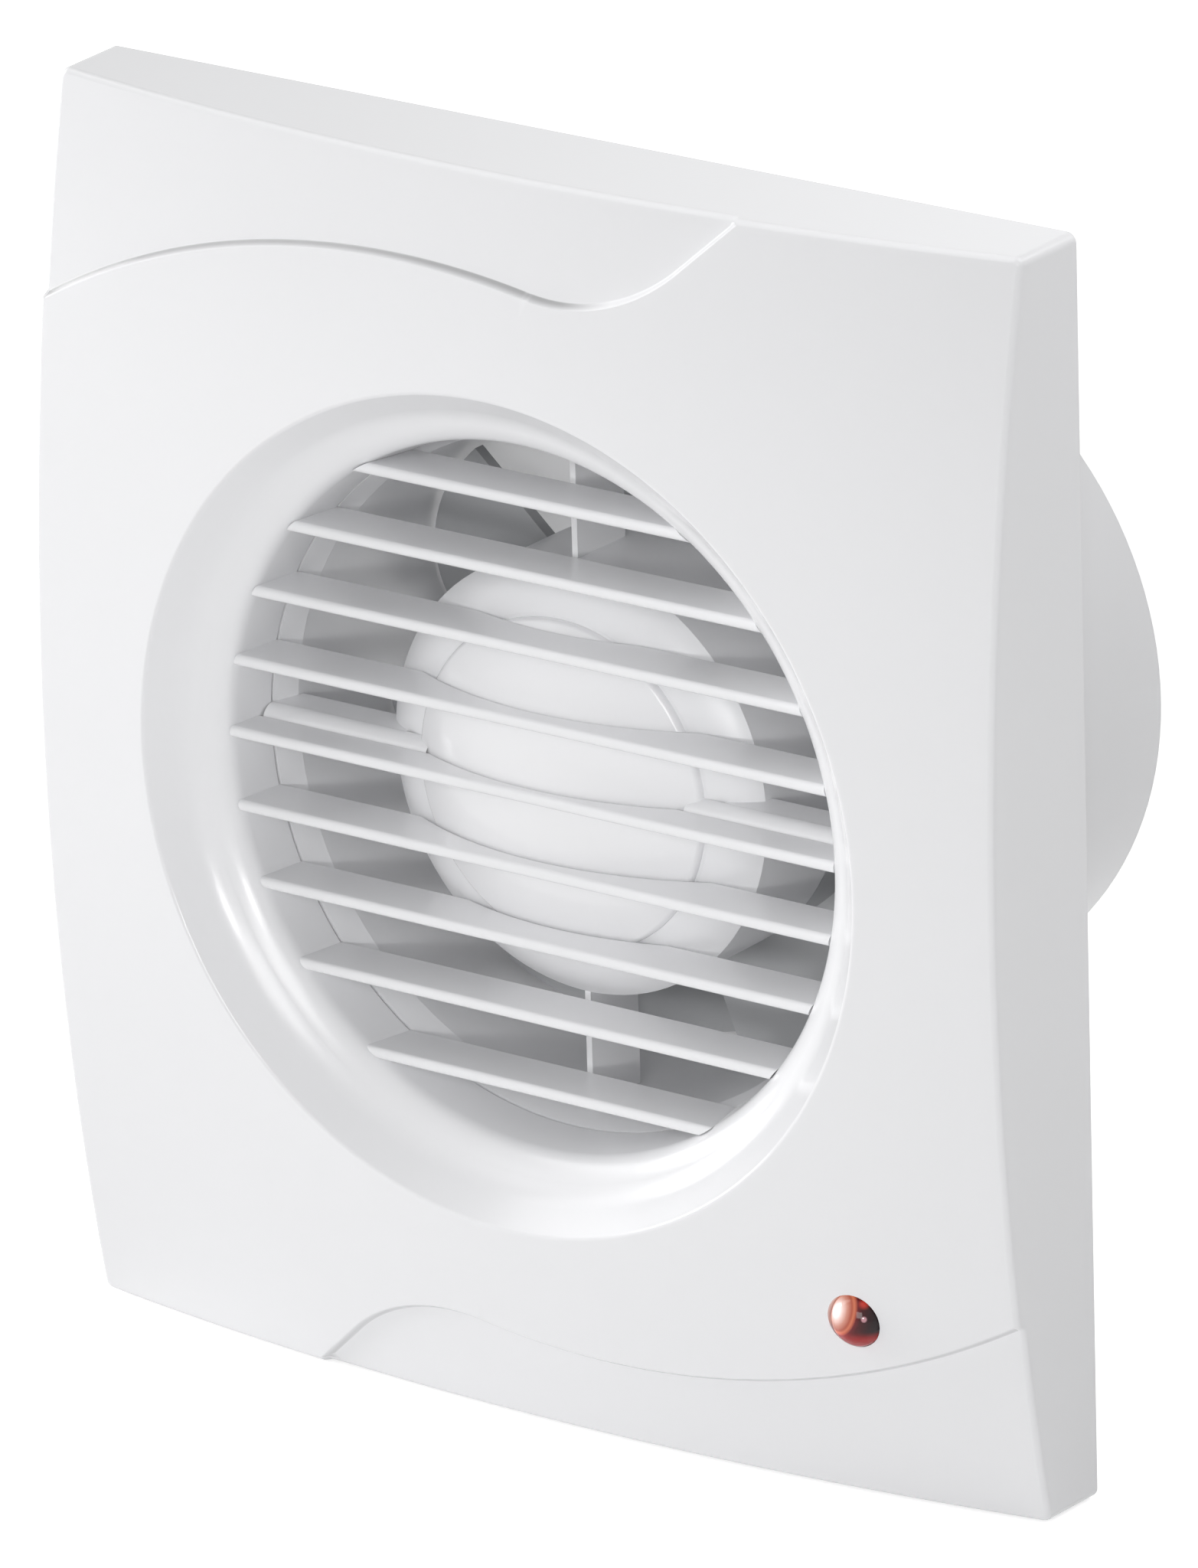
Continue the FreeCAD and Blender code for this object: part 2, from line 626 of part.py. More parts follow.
def make_cover():
    """The domed front cover with its round recess, without the slats."""
    low_sphere = s.dome_radius - s.wave_step
    low = domed_slab("cover_low", s.face_width, s.face_height, low_sphere, s.corner_round, s.front_round)
    high = domed_slab("cover_high", s.face_width, s.face_height, s.dome_radius, s.corner_round, s.front_round)
    inner_sphere = low_sphere - s.cover_wall
    inner_width = s.face_width - s.cover_wall * 2
    inner_height = s.face_height - s.cover_wall * 2
    inner_front = s.front_round / 2
    inner_corner = s.corner_round / 2
    room = domed_slab("cover_room", inner_width, inner_height, inner_sphere, inner_corner, inner_front)
    band_prism = slab("cover_band_area", wave_outline(), -s.dome_depth - s.overrun, s.overrun)
    band = common("cover_band", [high, band_prism])
    solid = fuse("cover_solid", [low, band])
    wall = s.cover_wall
    lip = dome_place(s.lip_radius, s.dome_radius)
    far = -s.dome_depth - s.overrun
    lip_slope = (s.lip_radius - s.valley_radius) / (-lip - s.valley_depth)
    outer = s.lip_radius + (-far + lip) * lip_slope
    air = turned("cover_air", [
        (ZERO, far),
        (outer, far),
        (s.valley_radius, -s.valley_depth),
        (s.ridge_radius, -s.ridge_depth),
        (s.bore_mouth_radius, -s.bore_mouth_depth),
        (s.bore_rear_radius, bore_rear),
        (s.bore_rear_radius, s.overrun),
        (ZERO, s.overrun),
    ])
    keep = turned("cover_funnel", [
        (ZERO, far),
        (s.lip_radius + wall, far),
        (s.lip_radius + wall, lip + wall),
        (s.valley_radius + wall, -s.valley_depth + wall / 2),
        (s.ridge_radius + wall, -s.ridge_depth + wall / 2),
        (s.bore_mouth_radius + wall, -s.bore_mouth_depth + wall / 2),
        (s.bore_rear_radius + wall, bore_rear),
        (ZERO, bore_rear),
    ])
    boss = cylinder("lens_boss", s.lens_boss_radius, s.dome_depth - lens_seat_depth,
                    (lens_x, -s.dome_depth, -lens_z))
    kept = fuse("cover_kept", [keep, boss])
    hollow = cut("cover_hollow", room, kept)
    shell = cut("cover_shell", solid, hollow)
    opened = cut("cover_open", shell, air)
    hole = cylinder("lens_hole", s.lens_radius + s.hole_gap, s.dome_depth, (lens_x, -s.dome_depth, -lens_z))
    parts = [opened]
    lug_z = s.face_height / 2 - s.cover_wall - s.cover_gap - s.rim_wall
    for side, name in ((-1, "left"), (1, "right")):
        low_corner = (s.lug_spacing / 2 * side - s.lug_width / 2, -s.lug_depth - s.lug_height, lug_z)
        lug_size = (s.lug_width, s.lug_height, s.rim_wall + s.cover_gap + s.cover_wall / 2)
        parts.append(box(f"cover_lug_{name}", low_corner, lug_size))
    boss_low = (-s.cover_screw_tab / 2, -s.cover_tab_depth, -s.face_height / 2 + s.cover_wall / 2)
    boss_size = (s.cover_screw_tab, s.cover_tab_depth - s.base_thickness, s.cover_boss_height)
    parts.append(box("cover_screw_boss", boss_low, boss_size))
    joined = fuse("cover_joined", parts)
    bottom = -s.face_height / 2
    sink = cylinder("cover_screw_sink_cut", s.cover_screw_head + s.hole_gap, s.cover_screw_sink + s.overrun,
                    (0, -s.cover_screw_depth, bottom - s.overrun), UPRIGHT)
    bore = cylinder("cover_screw_bore", s.cover_screw_radius + s.hole_gap, s.cover_boss_height + s.overrun * 2,
                    (0, -s.cover_screw_depth, bottom - s.overrun), UPRIGHT)
    holes = fuse("cover_holes", [hole, sink, bore])
    finished = cut("cover_cut", joined, holes)
    doc.recompute()
    rounded = doc.addObject("Part::Fillet", "cover_rounded")
    rounded.Base = finished
    rounded.Edges = recess_edges(finished.Shape)
    piece("front_cover", rounded)
    return air


def recess_edges(shape):
    """The round edges of the recess, each with its rounding."""
    wanted = (
        (s.lip_radius, dome_place(s.lip_radius, s.dome_radius), s.lip_round),
        (s.valley_radius, -s.valley_depth, s.valley_round),
        (s.ridge_radius, -s.ridge_depth, s.ridge_round),
        (s.bore_mouth_radius, -s.bore_mouth_depth, s.mouth_round),
    )
    chosen = []
    for number, edge in enumerate(shape.Edges, start=1):
        if not isinstance(edge.Curve, Part.Circle):
            continue
        for radius, y, rounding in wanted:
            same = abs(edge.Curve.Radius - amount(radius)) < 0.01
            if same and abs(edge.Curve.Center.y - amount(y)) < 0.01:
                chosen.append((number, amount(rounding), amount(rounding)))
    return chosen


def make_slats(air):
    """The louvre slats: flat bars with a round nose, cut to the bore, the motor cap and the arms."""
    length = s.bore_mouth_radius * 2 + s.overrun * 2
    clear_cap = sphere("cap_clearance", cap_sphere + s.slat_gap, (0, cap_sphere - s.cap_depth, 0))
    clear_tube = cylinder("tube_clearance", s.tube_radius + s.slat_gap, length, (-length / 2, -s.arm_front_depth, 0),
                          ALONG_X)
    clear = fuse("slat_clearance", [clear_cap, clear_tube])
    half = s.slat_thickness / 2
    count = int(amount(s.slat_count))
    for number in range(count):
        height = s.slat_rise + s.slat_pitch * ((count - 1) / 2 - number)
        body = new_body(f"slat_bar_{number + 1}")
        sketch = new_sketch(body, f"slat_bar_{number + 1}_section", "YZ_Plane", -length / 2)
        nose = -s.bore_mouth_depth + half
        outline(sketch, [
            (bore_rear, height - half),
            (bore_rear, height + half),
            (nose, height + half),
            (nose - half, height, half, -1),
            (nose, height - half, half, -1),
        ])
        add_pad(body, sketch, length)
        trimmed = common(f"slat_trimmed_{number + 1}", [body, air])
        piece(f"louvre_slat_{number + 1}", cut(f"slat_{number + 1}", trimmed, clear))


def make_lens():
    """The domed indicator lens with its flange and the pocket for the lamp."""
    crown = dome_place(root(lens_x * lens_x + lens_z * lens_z), s.dome_radius)
    seat = -lens_seat_depth
    body = new_body("lens")
    sketch = new_sketch(body, "lens_section", "XY_Plane")
    radius = (s.lens_radius * s.lens_radius + s.lens_crown * s.lens_crown) / (s.lens_crown * 2)
    pocket = s.lamp_radius + s.lamp_gap
    back = seat + s.lens_flange
    lamp_tip = -board_depth - s.lamp_length - s.lamp_gap
    edge = crown + s.lens_crown * lens_sink_share
    outline(sketch, [
        (ZERO, edge - s.lens_crown),
        (s.lens_radius, edge, radius, -1),
        (s.lens_radius, seat),
        (s.lens_flange_radius, seat),
        (s.lens_flange_radius, back),
        (pocket, back),
        (pocket, lamp_tip),
        (ZERO, lamp_tip),
    ])
    add_turn(body, sketch)
    place(body, (lens_x, 0, -lens_z))
    piece("indicator_lens", body)


# The lens's rim lies below the cover's skin by this share of its dome, where the skin slopes away.
lens_sink_share = 0.35


def make_cover_screw():
    """The screw that holds the cover at the middle of its lower edge."""
    bottom = -s.face_height / 2
    top = bottom + s.cover_screw_sink
    head = cylinder("cover_screw_top", s.cover_screw_head, s.cover_screw_head_height,
                    (0, -s.cover_screw_depth, top - s.cover_screw_head_height), UPRIGHT)
    shank = cylinder("cover_screw_shank", s.cover_screw_radius, s.cover_screw_length,
                     (0, -s.cover_screw_depth, top), UPRIGHT)
    piece("cover_screw", fuse("cover_screw_solid", [head, shank]))


def ear_places():
    """The four places of the carrier's ears."""
    return [(s.ear_x * sx, s.ear_z * sz) for sx in (-1, 1) for sz in (-1, 1)]


def make_base():
    """The base frame: plate, rim, bosses and the seats of what it carries."""
    body = new_body("base")
    sketch = new_sketch(body, "base_outline", "XZ_Plane")
    outline(sketch, rectangle(ZERO, ZERO, base_half_width * 2, base_half_height * 2))
    pad = add_pad(body, sketch, s.rim_depth)
    add_fillet(body, pad, upright_edges(pad.Shape), s.base_corner)
    room_width = (base_half_width - s.rim_wall) * 2
    room_height = (base_half_height - s.rim_wall) * 2
    room = box("base_room", (-room_width / 2, -s.rim_depth - s.overrun, -room_height / 2),
               (room_width, s.rim_depth + s.overrun - s.base_thickness, room_height))
    tray = cut("base_tray", body, room)
    parts = [tray]
    holes = []
    wall_places = [(wall_screw_x * sx, wall_screw_z * sz) for sx in (-1, 1) for sz in (-1, 1)]
    for number, (x, z) in enumerate(wall_places):
        parts.append(cylinder(f"wall_boss_{number}", s.boss_radius, s.wall_boss_depth, (x, -s.wall_boss_depth, z)))
        holes.append(cylinder(f"wall_hole_{number}", s.wall_screw_radius, s.rim_depth + s.overrun * 2,
                              (x, -s.rim_depth - s.overrun, z)))
    for number, (x, z) in enumerate(ear_places()):
        parts.append(cylinder(f"ear_boss_{number}", s.ear_radius, -flange_front, (x, flange_front, z)))
        depth = s.ear_screw_length - s.ear_thickness
        holes.append(cylinder(f"ear_hole_{number}", s.ear_screw_radius + s.hole_gap, depth + s.overrun,
                              (x, flange_front - s.overrun, z)))
    tab_z = -base_half_height + s.cover_boss_height - s.cover_gap
    tab = box("cover_tab", (-s.cover_screw_tab / 2, -s.cover_tab_depth, tab_z),
              (s.cover_screw_tab, s.cover_tab_depth - s.base_thickness / 2, s.cover_tab_height))
    parts.append(tab)
    post_top = -board_depth + s.board_thickness
    for side in (-1, 1):
        parts.append(cylinder(f"board_post_{side + 1}", s.board_post_radius, -post_top,
                              (lens_x + s.board_screw_place * side, post_top, -lens_z)))
        holes.append(cylinder(f"board_hole_{side + 1}", s.board_screw_radius + s.hole_gap,
                              s.board_screw_length + s.overrun,
                              (lens_x + s.board_screw_place * side, post_top - s.overrun, -lens_z)))
        clamp_top = plate_front - s.clamp_gap
        z = s.inlet_z + s.clamp_screw_place * side
        parts.append(cylinder(f"clamp_post_{side + 1}", s.clamp_post_radius, -clamp_top, (s.clamp_x, clamp_top, z)))
        holes.append(cylinder(f"clamp_hole_{side + 1}", s.clamp_screw_radius + s.hole_gap,
                              s.clamp_screw_length - s.clamp_thickness + s.overrun,
                              (s.clamp_x, clamp_top - s.overrun, z)))
    solid = fuse("base_solid", parts)
    gap = s.spigot_radius + s.spigot_collar + s.play / 2
    holes.append(cylinder("base_bore", gap, s.rim_depth * 2, (0, -s.rim_depth, 0)))
    holes.append(cylinder("inlet_hole", s.inlet_radius, s.rim_depth * 2, (s.inlet_x, -s.rim_depth, s.inlet_z)))
    holes.append(cylinder("inlet_recess", s.inlet_radius + s.grommet_lip + s.play, s.plate_recess * 2,
                          (s.inlet_x, grommet_seat(), s.inlet_z)))
    for side, name in ((-1, "left"), (1, "right")):
        low = (s.lug_spacing / 2 * side - s.lug_width / 2 - s.play, -s.lug_depth - s.lug_height - s.play,
               base_half_height - s.rim_wall - s.overrun / 2)
        size = (s.lug_width + s.play * 2, s.lug_height + s.play * 2, s.rim_wall + s.overrun)
        holes.append(box(f"lug_window_{name}", low, size))
    notch = box("screw_notch", (-s.cover_screw_tab / 2 - s.play, -s.rim_depth - s.overrun, -base_half_height - s.play),
                (s.cover_screw_tab + s.play * 2, s.rim_depth + s.overrun - s.base_thickness + s.play,
                 s.cover_boss_height - s.cover_gap + s.play))
    holes.append(notch)
    screw_low = -s.face_height / 2 + s.cover_screw_sink
    holes.append(cylinder("tab_hole", s.cover_screw_radius + s.hole_gap, s.cover_screw_length + s.play,
                          (0, -s.cover_screw_depth, screw_low), UPRIGHT))
    piece("base_frame", cut("base_finished", solid, fuse("base_holes", holes)))


def grommet_seat():
    """The Y coordinate of the face that the grommet's rear lip rests on."""
    return -s.plate_recess


def make_spigot():
    """The duct spigot: a straight tube with a flange that lies on the base plate."""
    rear = s.spigot_reach
    piece("duct_spigot", turned("spigot", [
        (spigot_inner, flange_front),
        (s.spigot_flange_radius, flange_front),
        (s.spigot_flange_radius, plate_front),
        (s.spigot_radius + s.spigot_collar, plate_front),
        (s.spigot_radius + s.spigot_collar, ZERO),
        (s.spigot_radius, s.spigot_collar),
        (s.spigot_radius, rear - s.spigot_chamfer),
        (s.spigot_radius - s.spigot_chamfer, rear),
        (spigot_inner, rear),
    ]))


def make_carrier():
    """The motor carrier: cup, four arms, ring and the ears that screw to the base frame."""
    cup_inner = s.cup_radius - s.cup_wall
    cup = turned("cup", [
        (s.cup_radius, s.cup_reach),
        (s.cup_radius, -s.cup_edge_depth),
        (s.shoulder_radius, -s.shoulder_depth, s.shoulder_sweep, 1),
        (s.cup_mouth_radius, -s.shoulder_depth),
        (s.cup_mouth_radius, -s.cup_floor_depth),
        (s.cup_floor_radius, -s.cup_floor_depth),
        (cup_inner, -s.cup_edge_depth),
        (cup_inner, s.cup_reach),
    ])
    ring_front = bore_rear + s.play
    ring_outer = s.bore_rear_radius + s.ring_wall
    ring = turned("carrier_ring", [
        (s.bore_rear_radius, ring_front),
        (ring_outer, ring_front),
        (ring_outer, flange_front),
        (spigot_inner, flange_front),
    ])
    span = s.bore_rear_radius * 2 + s.ring_wall
    arm = box("arm_bar", (-span / 2, -s.arm_front_depth, -s.arm_height / 2),
              (span, s.arm_front_depth - s.arm_rear_depth, s.arm_height))
    inside = s.arm_height - s.arm_wall * 2
    holes = []
    for side, name in ((-1, "left"), (1, "right")):
        start = s.shoulder_radius if side > 0 else -span / 2
        holes.append(box(f"arm_channel_{name}", (start, -s.arm_front_depth - s.overrun, -inside / 2),
                         (span / 2 - s.shoulder_radius, s.arm_front_depth - s.arm_rear_depth - s.arm_wall + s.overrun,
                          inside)))
        notch = spigot_inner if side > 0 else -spigot_inner - s.ring_wall * 2
        holes.append(box(f"ring_notch_{name}", (notch, bore_rear - s.overrun, -inside / 2),
                         (s.ring_wall * 2, s.bore_rear_depth + s.overrun * 2, inside)))
    fin = box("fin_bar", (-s.fin_thickness / 2, -s.fin_front_depth, -span / 2),
              (s.fin_thickness, s.fin_front_depth + s.fin_reach, span))
    bars = fuse("arm_bars", [arm, fin])
    spoke_zone = turned("spoke_zone", [
        (s.cup_floor_radius, -s.arm_front_depth - s.overrun),
        (s.bore_rear_radius + s.ring_wall / 2, -s.arm_front_depth - s.overrun),
        (s.bore_rear_radius + s.ring_wall / 2, flange_front),
        (spigot_inner - s.play / 2, flange_front),
        (spigot_inner - s.play / 2, s.fin_reach + s.overrun),
        (s.cup_radius - s.cup_wall / 2, s.fin_reach + s.overrun),
        (s.cup_radius - s.cup_wall / 2, -s.cup_edge_depth),
        (s.cup_floor_radius, -s.cup_floor_depth - s.arm_wall / 2),
    ])
    spokes = common("spokes", [bars, spoke_zone])
    parts = [cup, ring, spokes]
    ear_rear = flange_front
    ear_front = ear_rear - s.ear_thickness
    web_start = s.bore_rear_radius + s.ring_wall / 2
    for number, (x, z) in enumerate(ear_places()):
        ear = cylinder(f"ear_{number}", s.ear_radius, s.ear_thickness, (x, ear_front, z))
        degrees = -math.degrees(math.atan2(amount(z), amount(x)))
        web = box(f"ear_web_{number}", (web_start, ear_front, -s.ear_web / 2),
                  (ear_place - web_start, s.ear_thickness, s.ear_web), degrees)
        parts += [ear, web]
    solid = fuse("carrier_solid", parts)
    for number, (x, z) in enumerate(ear_places()):
        holes.append(cylinder(f"ear_screw_hole_{number}", s.ear_screw_radius + s.hole_gap,
                              s.ear_thickness + s.overrun * 2, (x, ear_front - s.overrun, z)))
    for number, (x, z) in enumerate(motor_screw_places()):
        holes.append(cylinder(f"cup_screw_hole_{number}", s.motor_screw_radius + s.hole_gap, s.screw_bite + s.overrun,
                              (x, -s.cup_floor_depth - s.screw_bite, z)))
    piece("motor_carrier", cut("carrier_finished", solid, fuse("carrier_holes", holes)))
    screws = []
    for number, (x, z) in enumerate(ear_places()):
        head = cylinder(f"ear_screw_top_{number}", s.ear_screw_head, s.ear_screw_head_height,
                        (x, ear_front - s.ear_screw_head_height, z))
        shank = cylinder(f"ear_screw_shank_{number}", s.ear_screw_radius, s.ear_screw_length, (x, ear_front, z))
        screws.append(fuse(f"ear_screw_{number}", [head, shank]))
    piece("carrier_screws", group("carrier_screw_group", screws))


def motor_screw_places():
    """The two places of the motor screws, on the diagonal."""
    away = s.motor_screw_place * half_right_share
    return [(away, away), (-away, -away)]


def make_cap():
    """The motor cap: a shallow dome with two half tubes that close the side arms."""
    centre = cap_sphere - s.cap_depth
    inner = cap_sphere - s.cap_wall
    plug = s.cup_mouth_radius - s.play / 2
    hollow = plug - s.cap_wall
    seat = -s.shoulder_depth
    hollow_front = centre - root(inner * inner - hollow * hollow)
    dome = turned("cap_dome", [
        (ZERO, -s.cap_depth),
        (s.cap_radius, -s.cap_rim_depth, cap_sphere, -1),
        (s.cap_radius, seat),
        (plug, seat),
        (plug, seat + s.cap_plug_reach),
        (hollow, seat + s.cap_plug_reach),
        (hollow, hollow_front),
        (ZERO, centre - inner, inner, 1),
    ])
    length = s.bore_rear_radius * 2 - s.play * 2
    tube = cylinder("cap_tube", s.tube_radius, length, (-length / 2, -s.arm_front_depth, 0), ALONG_X)
    reach = s.tube_radius + s.overrun
    front_half = box("cap_tube_half", (-length / 2, -s.arm_front_depth - reach, -reach), (length, reach, reach * 2))
    half = common("cap_half_tube", [tube, front_half])
    bore = cylinder("cap_tube_bore", s.tube_radius - s.tube_wall, length * 2, (-length, -s.arm_front_depth, 0),
                    ALONG_X)
    shell = cut("cap_tube_shell", half, bore)
    inside = cylinder("cap_inside", s.cap_radius - s.cap_wall, s.cap_depth * 2, (0, -s.cap_depth * 2, 0))
    arms = cut("cap_arms", shell, inside)
    passage = box("cap_passage", (-s.cap_radius - s.overrun, -s.arm_front_depth - s.tube_wall, -s.tube_wall),
                  (s.overrun + s.cap_radius - plug + s.cap_wall + s.play, s.arm_front_depth, s.tube_wall * 2))
    whole = fuse("cap_whole", [dome, arms])
    piece("motor_cap", cut("cap_finished", whole, passage))


def make_stator():
    """The stator stack with four poles, its bobbins and its coils."""
    rear, front = s.stack_reach, -s.stack_front_depth
    stack = rear - front
    body = new_body("stator")
    yoke = new_sketch(body, "stator_yoke", "XZ_Plane", -rear)
    ring_line(yoke, ZERO, ZERO, s.stator_radius)
    ring_line(yoke, ZERO, ZERO, s.stator_inner)
    add_pad(body, yoke, stack)
    shoe_start = s.rotor_radius + s.air_gap
    parts = [body]
    bobbins = []
    coils = []
    winding_start = shoe_start + s.pole_shoe + s.air_gap
    winding_length = s.stator_inner - s.air_gap * 2 - winding_start
    half_pole = s.pole_width / 2
    for number in range(4):
        degrees = 90 * number
        parts.append(box(f"pole_{number}", (-half_pole, front, s.rotor_radius),
                         (s.pole_width, stack, s.stator_inner - s.rotor_radius + s.air_gap), degrees))
        parts.append(box(f"shoe_{number}", (-s.pole_shoe_width / 2, front, shoe_start - s.pole_shoe),
                         (s.pole_shoe_width, stack, s.pole_shoe * 2), degrees))
        inner = frame_block(f"bobbin_{number}", s.play / 2, s.bobbin_wall, front, rear, winding_start, winding_length)
        outer = frame_block(f"coil_{number}", s.play / 2 + s.bobbin_wall, s.coil_build, front, rear,
                            winding_start + s.bobbin_wall, winding_length - s.bobbin_wall * 2)
        bobbins.append(place(inner, (0, 0, 0), about_axis(degrees)))
        coils.append(place(outer, (0, 0, 0), about_axis(degrees)))
    solid = fuse("stator_solid", parts)
    holes = [cylinder("stator_bore", shoe_start, stack * 3, (0, front - stack, 0))]
    for number, (x, z) in enumerate(motor_screw_places()):
        holes.append(cylinder(f"stator_hole_{number}", s.motor_screw_radius + s.hole_gap, stack * 3,
                              (x, front - stack, z)))
    piece("stator_stack", cut("stator_finished", solid, fuse("stator_holes", holes)))
    piece("coil_bobbins", group("bobbin_group", bobbins))
    piece("stator_coils", group("coil_group", coils))


def frame_block(name, gap, wall, front, rear, start, length):
    """A closed rectangular frame round the upright pole."""
    half = s.pole_width / 2 + gap
    outer = box(name + "_outer", (-half - wall, front - gap - wall, start),
                ((half + wall) * 2, rear - front + (gap + wall) * 2, length))
    inner = box(name + "_inner", (-half, front - gap, start - s.overrun),
                (half * 2, rear - front + gap * 2, length + s.overrun * 2))
    return cut(name, outer, inner)


def make_bracket(name, face, side):
    """A bearing bracket: a strip between the motor screws with a bearing holder and two sleeves.

    face is the Y coordinate of the side that faces the stack, side is 1 at the rear and -1 at the front.
    """
    away = s.motor_screw_place
    sheet_low = face if side > 0 else face - s.bracket_sheet
    strip = box(name + "_strip", (-away, sheet_low, -s.bracket_arm / 2), (away * 2, s.bracket_sheet, s.bracket_arm),
                -45)
    disc = cylinder(name + "_disc", s.bracket_disc, s.bracket_sheet, (0, sheet_low, 0))
    boss_length = s.bearing_length
    boss_low = face if side > 0 else face - boss_length
    boss = cylinder(name + "_boss", s.bearing_radius + s.bearing_boss_wall, boss_length, (0, boss_low, 0))
    parts = [strip, disc, boss]
    holes = [cylinder(name + "_bore", s.bearing_radius, boss_length * 3, (0, boss_low - boss_length, 0))]
    stack_face = s.stack_reach if side > 0 else -s.stack_front_depth
    sleeve_low = stack_face if side > 0 else face
    sleeve_length = face - stack_face if side > 0 else stack_face - face
    for number, (x, z) in enumerate(motor_screw_places()):
        parts.append(cylinder(f"{name}_sleeve_{number}", s.sleeve_radius, sleeve_length, (x, sleeve_low, z)))
        parts.append(cylinder(f"{name}_pad_{number}", s.bracket_arm / 2, s.bracket_sheet, (x, sheet_low, z)))
        holes.append(cylinder(f"{name}_hole_{number}", s.motor_screw_radius + s.hole_gap, s.cup_reach * 4,
                              (x, -s.cup_reach * 2, z)))
    solid = fuse(name + "_solid", parts)
    return cut(name + "_finished", solid, fuse(name + "_holes", holes))


def make_bearings():
    """The two bearing brackets, the bronze bearings and the screws that clamp the motor."""
    front_face = -s.cup_floor_depth + s.bracket_sheet
    rear_face = s.rear_bracket_reach
    piece("front_bracket", make_bracket("front_bracket_plate", front_face, -1))
    piece("rear_bracket", make_bracket("rear_bracket_plate", rear_face, 1))
    bore = s.shaft_radius + s.running_gap
    front_low = front_face - s.bearing_length
    for name, low in (("front_bearing", front_low), ("rear_bearing", rear_face)):
        piece(name, turned(name + "_sleeve", [
            (bore, low),
            (s.bearing_radius, low),
            (s.bearing_radius, low + s.bearing_length),
            (bore, low + s.bearing_length),
        ]))
    screws = []
    head_low = rear_face + s.bracket_sheet
    tip = -s.cup_floor_depth - s.screw_bite + s.hole_gap
    for number, (x, z) in enumerate(motor_screw_places()):
        head = cylinder(f"motor_screw_top_{number}", s.motor_screw_head, s.motor_screw_head_height, (x, head_low, z))
        shank = cylinder(f"motor_screw_shank_{number}", s.motor_screw_radius, head_low - tip, (x, tip, z))
        screws.append(fuse(f"motor_screw_{number}", [head, shank]))
    piece("motor_screws", group("motor_screw_group", screws))
    return front_face, rear_face


def make_rotor(front_face, rear_face):
    """The shaft, the rotor with its end rings and the two thrust washers."""
    shaft_front = front_face - s.bearing_length - s.shaft_radius / 2
    shaft_rear = s.hub_reach + s.nut_height + s.thread_end
    piece("rotor_shaft", cylinder("shaft", s.shaft_radius, shaft_rear - shaft_front, (0, shaft_front, 0)))
    front, rear = -s.stack_front_depth, s.stack_reach
    piece("rotor_core", turned("rotor", [
        (s.shaft_radius, front - s.end_ring),
        (s.end_ring_radius, front - s.end_ring),
        (s.end_ring_radius, front),
        (s.rotor_radius, front),
        (s.rotor_radius, rear),
        (s.end_ring_radius, rear),
        (s.end_ring_radius, rear + s.end_ring),
        (s.shaft_radius, rear + s.end_ring),
    ]))
    washers = []
    for name, low in (("front", front_face + s.end_play), ("rear", rear_face - s.end_play - s.washer)):
        washers.append(turned(f"washer_{name}", [
            (s.shaft_radius, low),
            (s.washer_radius, low),
            (s.washer_radius, low + s.washer),
            (s.shaft_radius, low + s.washer),
        ]))
    piece("thrust_washers", group("washer_group", washers))


def blade_section(body, name, plane_place, wrap):
    """One cambered section of a blade, on a plane across the radius."""
    sketch = new_sketch(body, name, "YZ_Plane", plane_place)
    front, rear = s.blade_front_reach, s.blade_rear_reach
    half = wrap / 2
    chord = root((rear - front) * (rear - front) + wrap * wrap)
    camber_radius = (chord * chord / 4 + s.blade_camber * s.blade_camber) / (s.blade_camber * 2)
    width = s.blade_thickness * chord / wrap
    outline(sketch, [
        (front, -half),
        (rear - width, half, camber_radius, 1),
        (rear, half),
        (front + width, -half, camber_radius, -1),
    ])
    return sketch


